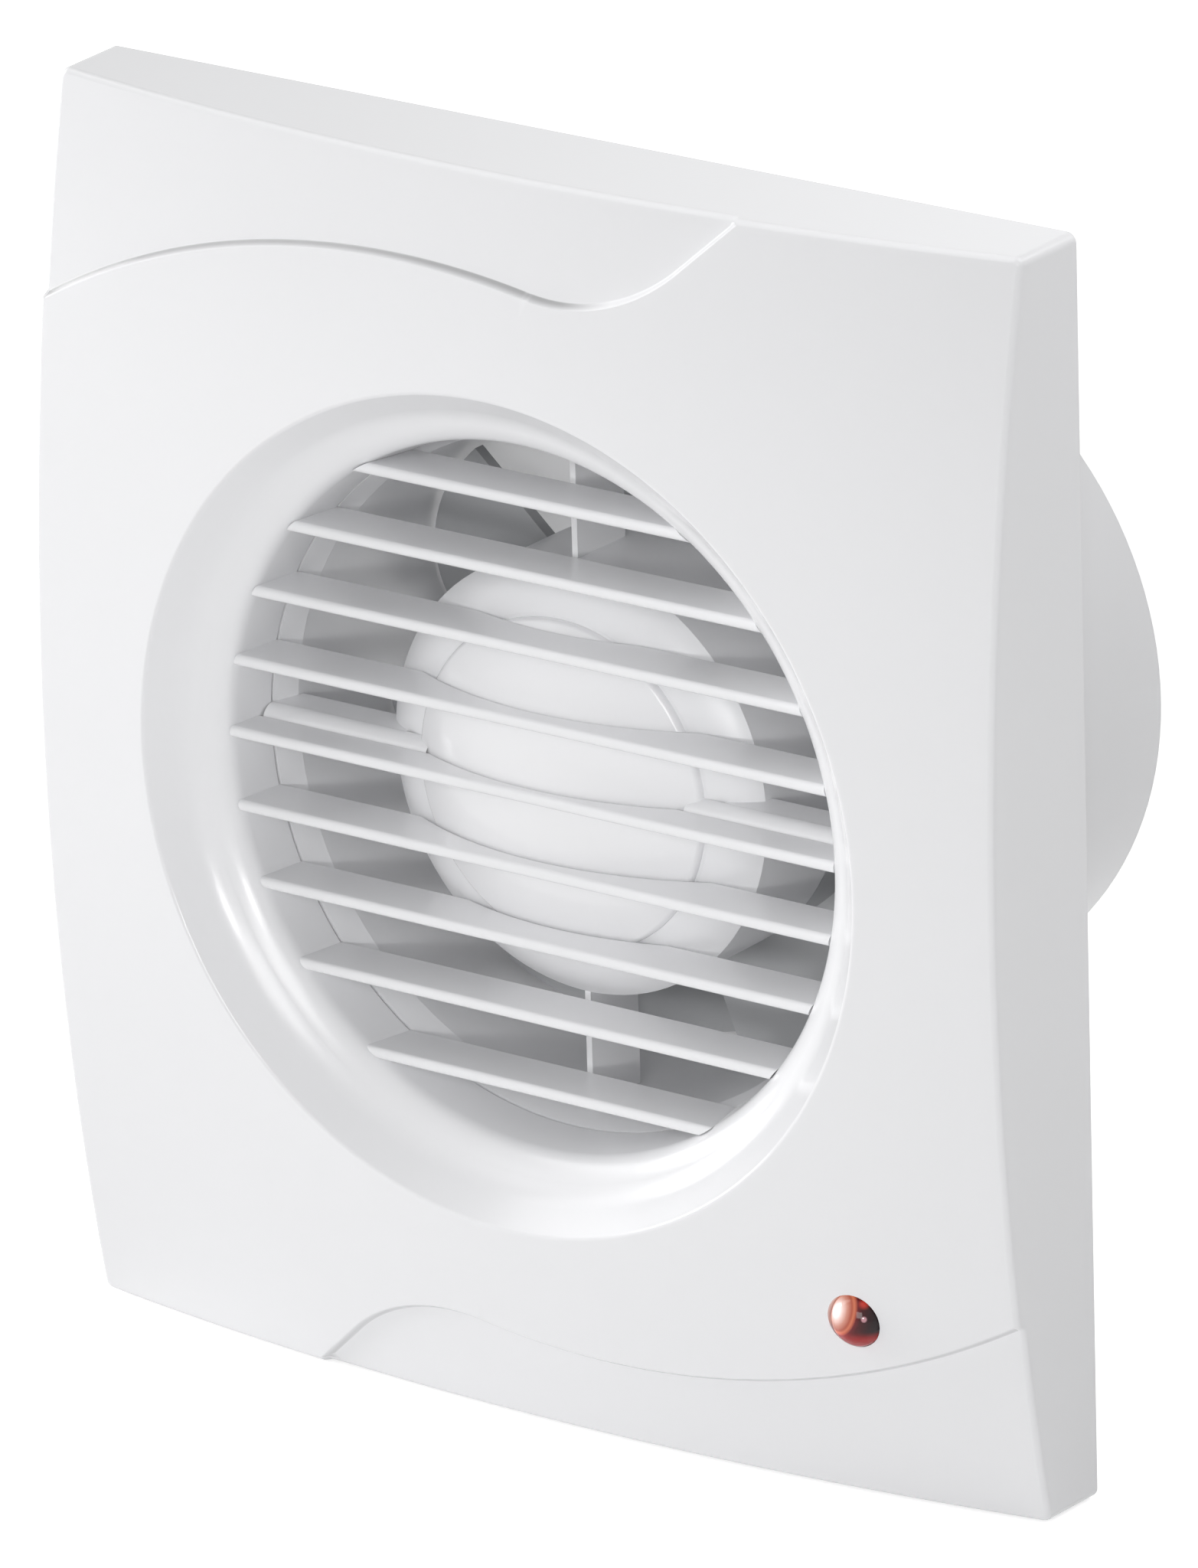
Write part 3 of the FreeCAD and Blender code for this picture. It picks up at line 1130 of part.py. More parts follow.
def make_impeller():
    """The impeller: a cup-shaped hub with twisted blades."""
    body = new_body("impeller_body")
    section = new_sketch(body, "hub_section", "XY_Plane")
    round_start = s.hub_radius - s.hub_round
    outline(section, [
        (ZERO, s.hub_front_reach),
        (s.hub_radius, s.hub_front_reach),
        (s.hub_radius, s.hub_reach - s.hub_round),
        (round_start, s.hub_reach, s.hub_round, -1),
        (ZERO, s.hub_reach),
    ])
    add_turn(body, section)
    root_sketch = blade_section(body, "blade_root", s.blade_root_plane, s.blade_root_wrap)
    tip_sketch = blade_section(body, "blade_tip", s.blade_tip_plane, s.blade_tip_wrap)
    loft = body.newObject("PartDesign::AdditiveLoft", "blade")
    loft.Profile = root_sketch
    loft.Sections = [tip_sketch]
    doc.recompute()
    pattern = body.newObject("PartDesign::PolarPattern", "blades")
    pattern.Originals = [loft]
    pattern.Axis = (section, ["V_Axis"])
    pattern.Angle = 360
    bind(pattern, "Occurrences", s.blade_count)
    body.Tip = pattern
    doc.recompute()
    trim = new_sketch(body, "tip_trim", "XY_Plane")
    tip = spigot_inner - s.blade_tip_gap
    far = s.blade_tip_plane * 2
    outline(trim, [(tip, ZERO), (far, ZERO), (far, s.spigot_reach), (tip, s.spigot_reach)])
    add_turn(body, trim, "PartDesign::Groove").Refine = False
    hollow = new_sketch(body, "hub_hollow", "XY_Plane")
    inner = s.hub_radius - s.hub_wall
    floor = s.hub_reach - s.hub_wall
    outline(hollow, [
        (s.shaft_radius, ZERO),
        (inner, ZERO),
        (inner, s.hub_reach - s.hub_round),
        (inner - s.hub_round + s.hub_wall, floor, s.hub_round - s.hub_wall, -1),
        (s.hub_boss_radius, floor),
        (s.hub_boss_radius, s.hub_boss_reach),
        (s.shaft_radius, s.hub_boss_reach),
    ])
    add_turn(body, hollow, "PartDesign::Groove").Refine = False
    bore = new_sketch(body, "hub_bore", "XY_Plane")
    outline(bore, [(ZERO, ZERO), (s.shaft_radius, ZERO), (s.shaft_radius, s.spigot_reach), (ZERO, s.spigot_reach)])
    add_turn(body, bore, "PartDesign::Groove").Refine = False
    doc.recompute()
    piece("impeller", body)
    nut = new_body("nut")
    sketch = new_sketch(nut, "nut_outline", "XZ_Plane", -s.hub_reach - s.nut_height)
    outline(sketch, hexagon(s.nut_radius))
    ring_line(sketch, ZERO, ZERO, s.shaft_radius)
    add_pad(nut, sketch, s.nut_height)
    piece("impeller_nut", nut)


def hexagon(radius):
    """The corners of a hexagon round the axis."""
    high = radius * math.sqrt(3) / 2
    return [
        (radius, ZERO),
        (radius / 2, high),
        (-radius / 2, high),
        (-radius, ZERO),
        (-radius / 2, -high),
        (radius / 2, -high),
    ]


def make_terminals():
    """The terminal block and its screws."""
    low = (s.terminal_x - s.terminal_width / 2, plate_front - s.terminal_depth,
           s.terminal_z - s.terminal_height / 2)
    block = box("terminal_body", low, (s.terminal_width, s.terminal_depth, s.terminal_height))
    front = plate_front - s.terminal_depth
    holes = []
    screws = []
    middle = front + s.terminal_depth / 2
    for pole in (-1, 1):
        z = s.terminal_z + s.terminal_pitch / 2 * pole
        for side in (-1, 1):
            x = s.terminal_x + s.terminal_offset * side
            name = f"{pole + 1}_{side + 1}"
            holes.append(cylinder(f"terminal_well_{name}", s.terminal_well, s.terminal_well_depth + s.overrun,
                                  (x, front - s.overrun, z)))
            head_low = front + s.terminal_well_depth - s.terminal_screw_head_height
            screws.append(cylinder(f"terminal_screw_{name}", s.terminal_screw_radius, s.terminal_screw_head_height,
                                   (x, head_low, z)))
    holes.append(cylinder("terminal_wire_hole", s.terminal_wire_radius, s.terminal_width / 3 + s.overrun,
                          (s.terminal_x - s.terminal_width / 2 - s.overrun, middle, s.terminal_z), ALONG_X))
    piece("terminal_block", cut("terminal_finished", block, fuse("terminal_holes", holes)))
    piece("terminal_screws", group("terminal_screw_group", screws))


def make_inlet():
    """The cable grommet in the base plate, and the clamp that holds the cable."""
    lip = s.inlet_radius + s.grommet_lip
    front = plate_front - s.grommet_lip_height
    seat = grommet_seat()
    body = turned("grommet", [
        (s.grommet_bore, front),
        (lip, front),
        (lip, plate_front),
        (s.inlet_radius, plate_front),
        (s.inlet_radius, seat),
        (lip, seat),
        (lip, seat + s.grommet_lip_height),
        (s.grommet_bore, seat + s.grommet_lip_height),
    ])
    place(body, (s.inlet_x, 0, s.inlet_z))
    piece("cable_grommet", body)
    clamp_top = plate_front - s.clamp_gap
    bar = box("clamp_bar", (s.clamp_x - s.clamp_width / 2, clamp_top - s.clamp_thickness,
                            s.inlet_z - s.clamp_height / 2),
              (s.clamp_width, s.clamp_thickness, s.clamp_height))
    holes = []
    screws = []
    for side in (-1, 1):
        z = s.inlet_z + s.clamp_screw_place * side
        top = clamp_top - s.clamp_thickness
        holes.append(cylinder(f"clamp_bar_hole_{side + 1}", s.clamp_screw_radius + s.hole_gap,
                              s.clamp_thickness + s.overrun * 2, (s.clamp_x, top - s.overrun, z)))
        head = cylinder(f"clamp_screw_top_{side + 1}", s.clamp_screw_head, s.clamp_screw_head_height,
                        (s.clamp_x, top - s.clamp_screw_head_height, z))
        shank = cylinder(f"clamp_screw_shank_{side + 1}", s.clamp_screw_radius, s.clamp_screw_length,
                         (s.clamp_x, top, z))
        screws.append(fuse(f"clamp_screw_{side + 1}", [head, shank]))
    piece("cord_clamp", cut("clamp_finished", bar, fuse("clamp_holes", holes)))
    piece("cord_clamp_screws", group("clamp_screw_group", screws))


def make_lamp():
    """The indicator lamp on its circuit board, with the parts and screws on it."""
    front = -board_depth
    board = box("board", (lens_x - s.board_width / 2, front, -lens_z - s.board_height / 2),
                (s.board_width, s.board_thickness, s.board_height))
    holes = []
    screws = []
    for side in (-1, 1):
        x = lens_x + s.board_screw_place * side
        holes.append(cylinder(f"board_bore_{side + 1}", s.board_screw_radius + s.hole_gap,
                              s.board_thickness + s.overrun * 2, (x, front - s.overrun, -lens_z)))
        head = cylinder(f"board_screw_top_{side + 1}", s.board_screw_head, s.board_screw_head_height,
                        (x, front - s.board_screw_head_height, -lens_z))
        shank = cylinder(f"board_screw_shank_{side + 1}", s.board_screw_radius, s.board_screw_length,
                         (x, front, -lens_z))
        screws.append(fuse(f"board_screw_{side + 1}", [head, shank]))
    piece("lamp_board", cut("board_finished", board, fuse("board_holes", holes)))
    piece("lamp_board_screws", group("board_screw_group", screws))
    tip = front - s.lamp_length
    body = new_body("lamp")
    sketch = new_sketch(body, "lamp_section", "XY_Plane")
    outline(sketch, [
        (ZERO, tip),
        (s.lamp_radius, tip + s.lamp_radius, s.lamp_radius, -1),
        (s.lamp_radius, front - s.lamp_gap * 2),
        (s.lamp_rim_radius, front - s.lamp_gap * 2),
        (s.lamp_rim_radius, front),
        (ZERO, front),
    ])
    add_turn(body, sketch)
    place(body, (lens_x, 0, -lens_z))
    piece("indicator_lamp", body)
    row_z = -lens_z + s.part_row
    piece("lamp_resistor", cylinder("resistor", s.resistor_radius, s.resistor_length,
                                    (lens_x - s.resistor_length / 2, front - s.resistor_radius, row_z), ALONG_X))
    piece("lamp_capacitor", box("capacitor", (lens_x - s.capacitor_width / 2, front - s.capacitor_depth,
                                              -lens_z - s.part_row - s.capacitor_height / 2),
                                (s.capacitor_width, s.capacitor_depth, s.capacitor_height)))


def lead(name, points, bend):
    """A round lead along straight runs with a round bend at every turn."""
    corners = [FreeCAD.Vector(*[amount(size) for size in point]) for point in points]
    radius = amount(bend)
    edges = []
    here = corners[0]
    for before, corner, after in zip(corners, corners[1:], corners[2:]):
        come = (corner - before).normalize()
        leave = (after - corner).normalize()
        turn = come.getAngle(leave)
        back = radius * math.tan(turn / 2)
        start = corner - come * back
        end = corner + leave * back
        inward = (leave - come).normalize()
        middle = corner + inward * (radius / math.cos(turn / 2) - radius)
        edges.append(Part.LineSegment(here, start).toShape())
        edges.append(Part.Arc(start, middle, end).toShape())
        here = end
    edges.append(Part.LineSegment(here, corners[-1]).toShape())
    path = Part.Wire(edges)
    first = (corners[1] - corners[0]).normalize()
    ring = Part.Wire([Part.Circle(corners[0], first, amount(s.lead_radius)).toShape()])
    item = doc.addObject("Part::Feature", name)
    item.Shape = path.makePipeShell([ring], True, False)
    return item


def make_leads():
    """The two pairs of leads: from the coils to the terminals, and from the terminals to the lamp."""
    motor = []
    lamp = []
    terminal_low = s.terminal_z - s.terminal_height / 2
    board_high = s.board_height / 2 - lens_z
    board_middle = s.board_thickness / 2 - board_depth
    coil_side = s.stator_inner + s.coil_build
    for side in (-1, 1):
        shift = s.lead_pitch / 2 * side
        motor.append(lead(f"motor_lead_{side + 1}", [
            (coil_side, -s.motor_lead_depth, -shift / 2),
            (s.motor_lead_x + shift, -s.motor_lead_depth, -shift / 2),
            (s.motor_lead_x + shift, -s.motor_lead_depth, terminal_low),
        ], s.lead_bend + shift))
        lamp.append(lead(f"lamp_lead_{side + 1}", [
            (s.lamp_lead_x + shift, board_middle, board_high),
            (s.lamp_lead_x + shift, board_middle, terminal_low),
        ], s.lead_bend))
    piece("motor_leads", group("motor_lead_group", motor))
    piece("lamp_leads", group("lamp_lead_group", lamp))


def check(item):
    """Stop where an object failed or its shape isn't sound."""
    if "Invalid" in item.State or "Error" in item.State:
        raise RuntimeError(f"{item.Name} is {item.State}")


bore_air = make_cover()
make_slats(bore_air)
make_lens()
make_cover_screw()
make_base()
make_spigot()
make_carrier()
make_cap()
make_stator()
faces = make_bearings()
make_rotor(*faces)
make_impeller()
make_terminals()
make_inlet()
make_lamp()
make_leads()
doc.recompute()

for item in doc.Objects:
    check(item)

os.makedirs("parts", exist_ok=True)
for item in pieces:
    shape = item.Shape
    if shape.isNull() or not shape.isValid() or not shape.Solids:
        raise RuntimeError(f"{item.Label} has no sound shape")
for item in pieces:
    item.Shape.exportStep(f"parts/{item.Label}.step")
    box_size = item.Shape.BoundBox
    print(f"{item.Label}: {len(item.Shape.Solids)} solid(s), {item.Shape.Volume:.1f} mm3, "
          f"{box_size.XLength:.1f} x {box_size.YLength:.1f} x {box_size.ZLength:.1f}")
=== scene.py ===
# %% [markdown]
# # A wall fan, dressed in Blender
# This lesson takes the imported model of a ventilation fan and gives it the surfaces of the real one.
# The model comes in as a fixed frame: every piece stands where its CAD solid stands, in metres, with the
# room on the side of -Y, the duct along +Y and +Z up.
# Pieces that the eye rests on, such as the domed cover, are made anew with finer shapes. All others keep
# their CAD shape and only get a finish.

# %% Load the frame
import json
import math

import bpy
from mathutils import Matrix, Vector
from mathutils.geometry import delaunay_2d_cdt


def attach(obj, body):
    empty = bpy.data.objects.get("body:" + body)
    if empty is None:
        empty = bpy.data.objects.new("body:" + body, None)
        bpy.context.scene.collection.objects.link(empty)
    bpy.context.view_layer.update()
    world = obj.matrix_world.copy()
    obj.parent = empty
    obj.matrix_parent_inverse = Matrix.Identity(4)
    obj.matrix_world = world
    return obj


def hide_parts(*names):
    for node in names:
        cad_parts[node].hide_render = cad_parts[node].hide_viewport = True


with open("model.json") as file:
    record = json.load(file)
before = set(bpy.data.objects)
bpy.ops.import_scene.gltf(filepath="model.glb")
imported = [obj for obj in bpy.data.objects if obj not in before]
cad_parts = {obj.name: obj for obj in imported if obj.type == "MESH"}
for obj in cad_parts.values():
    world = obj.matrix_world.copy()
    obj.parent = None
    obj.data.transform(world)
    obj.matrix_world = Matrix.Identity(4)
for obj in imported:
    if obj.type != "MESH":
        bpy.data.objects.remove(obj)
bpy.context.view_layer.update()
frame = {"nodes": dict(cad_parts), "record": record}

print("pieces in the frame:", len(frame["nodes"]))

# %% [markdown]
# ## The camera
# The photograph looks at the fan from the right and from above, from far away with a long lens, so that
# the sides stay nearly parallel. The place and the turns of the camera were worked out from the corners
# of the cover and the rings of the duct, which are known sizes.

# %% Camera
CAMERA_PLACE = (1.117609, -1.497258, 0.678451)
CAMERA_TURNS = (69.96584, 1.54340, 36.18323)
FOCAL_LENGTH = 344.4514
SENSOR_WIDTH = 36.0

camera_data = bpy.data.cameras.new("photo_camera")
camera_data.sensor_width = SENSOR_WIDTH
camera_data.lens = FOCAL_LENGTH
camera = bpy.data.objects.new("photo_camera", camera_data)
camera.location = CAMERA_PLACE
camera.rotation_euler = [math.radians(turn) for turn in CAMERA_TURNS]
bpy.context.scene.collection.objects.link(camera)
bpy.context.scene.camera = camera
bpy.context.scene.view_settings.view_transform = "Standard"
print("camera to the middle of the fan:", round(camera.location.length, 3), "m")

# %% [markdown]
# ## Sizes
# Lengths are written in millimetres, as on a drawing, and turned into metres when a mesh is made.
# A "depth" is the distance from the wall to the room side, so a depth of 20 lies at Y = -0.020.

# %% Sizes of the cover
MM = 0.001
HALF_WIDTH = 78.2
HALF_HEIGHT = 87.4
DRAFT = math.tan(math.radians(1.0))
CORNER_ROUND = 1.4
EDGE_ROUND = 0.7
DOME_RADIUS = 427.0
DOME_DEPTH = 28.2
WALL = 2.2
WAVE_STEP = 1.1
RECESS_START = 59.6
FUNNEL_START = 62.0
BORE_RADIUS = 48.4
LENS_PLACE = (54.0, -60.6)
LENS_RADIUS = 3.75
LENS_GAP = 0.05
print("cover:", HALF_WIDTH * 2, "x", HALF_HEIGHT * 2, "mm")

# %% [markdown]
# ## A tool that turns points into a mesh
# Each surface is made as a list of points, a list of faces and, for every point, the direction that
# the surface faces there. Blender could guess these directions from the faces, but the exact ones make
# a large smooth dome shine without any ripple, so they are handed over with the mesh. A point may also
# carry a painted shade, which darkens the cover's colour where two surfaces meet in a fold.

# %% Patches
class Patch:
    """Points in (x, depth, z) millimetres, their directions, and the faces between them."""

    def __init__(self):
        self.points = []
        self.directions = []
        self.faces = []
        self.shades = []

    def add(self, point, direction, shade=0.0):
        self.points.append(Vector((point[0], -point[1], point[2])) * MM)
        self.directions.append(Vector((direction[0], -direction[1], direction[2])).normalized())
        self.shades.append(shade)
        return len(self.points) - 1

    def face(self, corners):
        """Keep a face, turned so that it looks the way its points do."""
        places = [self.points[corner] for corner in corners]
        across = (places[1] - places[0]).cross(places[2] - places[0])
        if len(places) == 4:
            across += (places[2] - places[0]).cross(places[3] - places[0])
        towards = sum((self.directions[corner] for corner in corners), Vector())
        self.faces.append(corners if across.dot(towards) >= 0 else corners[::-1])

    def loops(self, rows):
        """Faces between closed rows of point numbers that run side by side."""
        for row, following in zip(rows, rows[1:]):
            for step in range(len(row)):
                after = (step + 1) % len(row)
                self.face([row[step], row[after], following[after], following[step]])


def make_piece(name, patch):
    """A mesh object from a patch, smooth, with its own directions."""
    mesh = bpy.data.meshes.new(name)
    mesh.from_pydata(patch.points, [], patch.faces)
    mesh.validate()
    mesh.shade_smooth()
    mesh.normals_split_custom_set_from_vertices(patch.directions)
    # The painted shade of each point goes with the mesh as an attribute.
    if any(patch.shades):
        mesh.attributes.new("painted_fold_shade", "FLOAT", "POINT").data.foreach_set("value", patch.shades)
    item = bpy.data.objects.new(name, mesh)
    bpy.context.scene.collection.objects.link(item)
    print(name, "has", len(mesh.polygons), "faces")
    return item


# %% [markdown]
# ## Outlines with round corners
# A turned part, such as the recess, is drawn as half a section: a line of corners, each with its own
# rounding. The next tool walks along such a line and puts an arc at every corner. A sharp corner gets
# two points at one place, one for each face, so that the edge stays crisp.

# %% Rounded sections
SMALLEST_TURN = 0.001


def rounded_section(corners, steps=6):
    """Points (radius, depth) with directions along a line of (radius, depth, rounding) corners."""
    places = [Vector(corner[:2]) for corner in corners]
    out = []

    def side(run):
        return Vector((-run.y, run.x))

    first = (places[1] - places[0]).normalized()
    out.append((places[0], side(first)))
    for number in range(1, len(corners) - 1):
        come = (places[number] - places[number - 1]).normalized()
        leave = (places[number + 1] - places[number]).normalized()
        turn = come.angle_signed(leave)
        radius = corners[number][2]
        if radius == 0 or abs(turn) < SMALLEST_TURN:
            out.append((places[number], side(come)))
            out.append((places[number], side(leave)))
            continue
        back = radius * math.tan(abs(turn) / 2)
        start = places[number] - come * back
        sign = -1 if turn > 0 else 1
        centre = start + side(come) * radius * sign
        for step in range(steps + 1):
            angle = -turn * step / steps
            spoke = -side(come) * sign
            spoke = Vector((spoke.x * math.cos(angle) - spoke.y * math.sin(angle),
                            spoke.x * math.sin(angle) + spoke.y * math.cos(angle)))
            out.append((centre + spoke * radius, -spoke * sign))
    last = (places[-1] - places[-2]).normalized()
    out.append((places[-1], side(last)))
    return out


def spin(patch, section, count, middle=(0.0, 0.0)):
    """Turn a section round the duct axis, or round a line beside it."""
    rows = []
    for place, direction in section:
        row = []
        for step in range(count):
            angle = math.tau * step / count
            across, up = math.cos(angle), math.sin(angle)
            point = (middle[0] + place.x * across, place.y, middle[1] + place.x * up)
            row.append(patch.add(point, (direction.x * across, direction.y, direction.x * up)))
        rows.append(row)
    patch.loops(rows)
    return rows


example = rounded_section([(60.0, 24.0, 0), (58.0, 24.0, 2.0), (54.0, 19.0, 0)])
print("a section with one rounded corner has", len(example), "points")

# %% [markdown]
# ## The two waves
# On the real cover a raised band runs from side to side, and a wave bounds it above and below. The lower
# wave is the upper one turned half round. A wave is made of a wide arc, a small arc bent the other way
# and a straight line that rises at about 42 degrees. The next tool gives the distance of any point from
# that line, which is above zero on the side of the low panel.

# %% Distance from a wave
WIDE_CENTRE = Vector((-14.3, -50.0))
WIDE_RADIUS = 125.0
SMALL_CENTRE = Vector((10.7, 100.15))
SMALL_RADIUS = 27.2
RISE = math.radians(42.3)
MEET = WIDE_CENTRE + (SMALL_CENTRE - WIDE_CENTRE) * (WIDE_RADIUS / (WIDE_RADIUS + SMALL_RADIUS))
LEAVE = SMALL_CENTRE + Vector((math.sin(RISE), -math.cos(RISE))) * SMALL_RADIUS
ALONG_MEET = Vector((SMALL_CENTRE.y - WIDE_CENTRE.y, WIDE_CENTRE.x - SMALL_CENTRE.x)).normalized()
DIAGONAL = Vector((math.cos(RISE), math.sin(RISE)))
DIAGONAL_LENGTH = 30.0
WIDE_START = math.radians(125.0)


def wave_distance(x, z):
    """Distance from the upper wave, positive above it."""
    place = Vector((x, z))
    if (place - LEAVE).dot(DIAGONAL) > 0:
        return (place - LEAVE).dot(Vector((-DIAGONAL.y, DIAGONAL.x)))
    if (place - MEET).dot(ALONG_MEET) > 0:
        return SMALL_RADIUS - (place - SMALL_CENTRE).length
    return (place - WIDE_CENTRE).length - WIDE_RADIUS


def angle_at(centre, place):
    """Angle of a place round a centre."""
    return math.atan2(place.y - centre.y, place.x - centre.x)


def on_circle(centre, radius, angle):
    return (centre[0] + radius * math.cos(angle), centre[1] + radius * math.sin(angle))


def arc_points(centre, radius, start, end, spacing):
    """Points along an arc, about one spacing apart."""
    count = max(2, int(radius * abs(end - start) / spacing))
    return [on_circle(centre, radius, start + (end - start) * step / count) for step in range(count + 1)]


def wave_line(offset, spacing):
    """Points along the upper wave, shifted by an offset to the side of the panel."""
    wide = arc_points(WIDE_CENTRE, WIDE_RADIUS + offset, WIDE_START, angle_at(WIDE_CENTRE, MEET), spacing)
    small = arc_points(SMALL_CENTRE, SMALL_RADIUS - offset, angle_at(SMALL_CENTRE, MEET),
                       angle_at(SMALL_CENTRE, LEAVE), spacing)
    straight = []
    for step in range(1, int(DIAGONAL_LENGTH / spacing)):
        far = Vector(small[-1]) + DIAGONAL * spacing * step
        straight.append((far.x, far.y))
    return wide[:-1] + small + straight


print("the waves' distance at the middle of the cover:", round(wave_distance(0, 0), 1), "mm")

# %% [markdown]
# ## The height of the face
# The face is a large dome, and the panels above and below the waves lie a little lower. The step between
# them is steep but its edges are soft, as on every moulded part. The wave above the recess lies a little
# lower than the half turn of the other one, as in the photograph. The direction of the surface is read
# from the heights of near points.
#
# Each step also gets painted shade: the cover's colour is darkened along the fold, sharply at the foot
# of the step and softly towards the raised band. The painted shade belongs to a place on the cover, so
# it is the same from every side.

# %% Height and direction of the face
STEP_WIDTH = 0.8
UPPER_SHIFT = 0.85
# How strongly the painted shade darkens the upper and the lower fold.
UPPER_PAINTED_SHADE = 0.48
LOWER_PAINTED_SHADE = 0.20
FOLD_START = -0.4
FOLD_FULL = 0.1
FOOT_FULL = 0.28
FOOT_END = 0.4
SHADE_FULL_X = 12.0
SHADE_END_X = 19.0


def to_upper(x, z):
    """Distance from the wave above the recess."""
    return wave_distance(x, z + UPPER_SHIFT)


def to_lower(x, z):
    """Distance from the wave below the recess."""
    return wave_distance(-x, -z)


def lowered(distance):
    """How far the step is down at a distance from the wave, from 0 to 1."""
    share = min(max(distance / STEP_WIDTH + 0.5, 0.0), 1.0)
    return share * share * (3.0 - 2.0 * share)


def dome(x, z, radius=DOME_RADIUS):
    return DOME_DEPTH - DOME_RADIUS + math.sqrt(radius * radius - x * x - z * z)


def face_depth(x, z):
    return dome(x, z) - WAVE_STEP * (lowered(to_upper(x, z)) + lowered(to_lower(x, z)))


def ramp_up(value, start, end):
    """Zero before the start, one after the end."""
    return min(max((value - start) / (end - start), 0.0), 1.0)


def in_fold(distance):
    """How far a point lies in a fold, from 0 to 1, by its distance from the wave."""
    return ramp_up(-distance, -FOOT_END, -FOOT_FULL) * ramp_up(distance, FOLD_START, FOLD_FULL)


def painted_fold_shade(x, z):
    """Painted shade of both steps, which is gone where the upper wave rises on the right."""
    on_upper = in_fold(to_upper(x, z)) * ramp_up(-x, -SHADE_END_X, -SHADE_FULL_X)
    return UPPER_PAINTED_SHADE * on_upper + LOWER_PAINTED_SHADE * in_fold(to_lower(x, z))


def face_direction(x, z, nudge=0.01):
    slope_x = (face_depth(x + nudge, z) - face_depth(x - nudge, z)) / (nudge * 2)
    slope_z = (face_depth(x, z + nudge) - face_depth(x, z - nudge)) / (nudge * 2)
    return (-slope_x, 1.0, -slope_z)


print("depth in the middle and at a corner:", round(face_depth(0, 0), 1), round(face_depth(77, 86), 1))

# %% [markdown]
# ## The cover's outline
# The outline is a rectangle with small round corners. Every point of it knows where its corner's middle
# is and which way is out, so one list serves for all loops: the rim of the face, the rounding and the
# side walls down to the wall. Where a wave meets the rim the points stand close together, to catch the
# step.

# %% Outline points
RIM_SPACING = 2.4
FINE_SPACING = 0.1
FINE_REACH = 1.2
CORNER_STEPS = 8


def outline_points():
    """Pairs of (middle, outward direction) round the cover, anticlockwise from the lower right corner."""
    right, high = HALF_WIDTH - CORNER_ROUND, HALF_HEIGHT - CORNER_ROUND
    corners = [Vector(place) for place in ((right, -high), (right, high), (-right, high), (-right, -high))]
    points = []
    for number, corner in enumerate(corners):
        angle = math.radians(90.0 * number)
        for step in range(CORNER_STEPS):
            turn = angle - math.radians(90.0) * (1 - step / CORNER_STEPS)
            points.append((corner, Vector((math.cos(turn), math.sin(turn)))))
        following = corners[(number + 1) % 4]
        out = Vector((math.cos(angle), math.sin(angle)))
        length = (following - corner).length
        count = int(length / RIM_SPACING)
        small = max(1, int(RIM_SPACING / FINE_SPACING))
        for step in range(count * small):
            middle = corner.lerp(following, step / (count * small))
            place = middle + out * CORNER_ROUND
            near = min(abs(to_upper(place.x, place.y)), abs(to_lower(place.x, place.y)))
            if step % small == 0 or near < STEP_WIDTH * FINE_REACH:
                points.append((middle, out))
    return points


rim = outline_points()
print("points round the rim:", len(rim))

# %% [markdown]
# ## The face
# A flat drawing of the face is cut into triangles: its rim, the circle of the recess, the circle of the
# lens hole and some lines beside each wave are fixed lines that the triangles must follow. Then each
# point is lifted to its height. This keeps the step of the waves crisp without a fine mesh everywhere.

# %% Draw the face and lift it
GRID = 3.6
GRID_ROOM = 1.6
WAVE_ROOM = 1.1
WAVE_OFFSETS = (-0.4, -0.28, -0.16, -0.06, 0.06, 0.16, 0.28, 0.4)
WAVE_SPACING = 0.8
WAVE_END_ROOM = 0.7
SAME_POINT = 0.0001
RECESS_SPOKES = 288
LENS_HOLE_SPOKES = 64
RIM_DEPTH_GUESS = 17.0


def circle_points(middle, radius, count):
    return [on_circle(middle, radius, math.tau * step / count) for step in range(count)]


def drawn_face(outer, circles, lines, spacing, keep_off):
    """Triangles of a flat region with round holes; keep_off tells where no grid point may stand."""
    points = []
    edges = []

    def chain(places, closed):
        first = len(points)
        points.extend(Vector(place) for place in places)
        last = len(points)
        edges.extend((number, number + 1) for number in range(first, last - 1))
        if closed:
            edges.append((last - 1, first))

    chain(outer, True)
    for middle, radius, count in circles:
        chain(circle_points(middle, radius, count), True)
    for line in lines:
        chain(line, False)
    across = int(HALF_WIDTH * 2 / spacing)
    up = int(HALF_HEIGHT * 2 / spacing)
    for column in range(1, across):
        for row in range(1, up):
            x = -HALF_WIDTH + HALF_WIDTH * 2 * column / across
            z = -HALF_HEIGHT + HALF_HEIGHT * 2 * row / up
            if not keep_off(x, z):
                points.append(Vector((x, z)))
    flat, _, faces, _, _, _ = delaunay_2d_cdt(points, edges, [], 0, SAME_POINT)
    kept = []
    for corners in faces:
        middle = sum((flat[corner] for corner in corners), Vector((0.0, 0.0))) / len(corners)
        if all((middle - Vector(hole)).length > radius for hole, radius, _ in circles):
            kept.append(corners)
    return flat, kept


def near_edge(x, z, room):
    beside = HALF_WIDTH - abs(x) < room + EDGE_ROUND or HALF_HEIGHT - abs(z) < room + EDGE_ROUND
    in_recess = math.hypot(x, z) < FUNNEL_START
    in_lens = math.hypot(x - LENS_PLACE[0], z - LENS_PLACE[1]) < LENS_RADIUS + room / 2
    return beside or in_recess or in_lens


def near_wave(x, z, room):
    return min(abs(to_upper(x, z)), abs(to_lower(x, z))) < room


front_rim = []
for middle, out in rim:
    depth = RIM_DEPTH_GUESS
    for _ in range(3):
        place = middle + out * (CORNER_ROUND - EDGE_ROUND - depth * DRAFT)
        depth = face_depth(place.x, place.y)
    front_rim.append((place, depth))

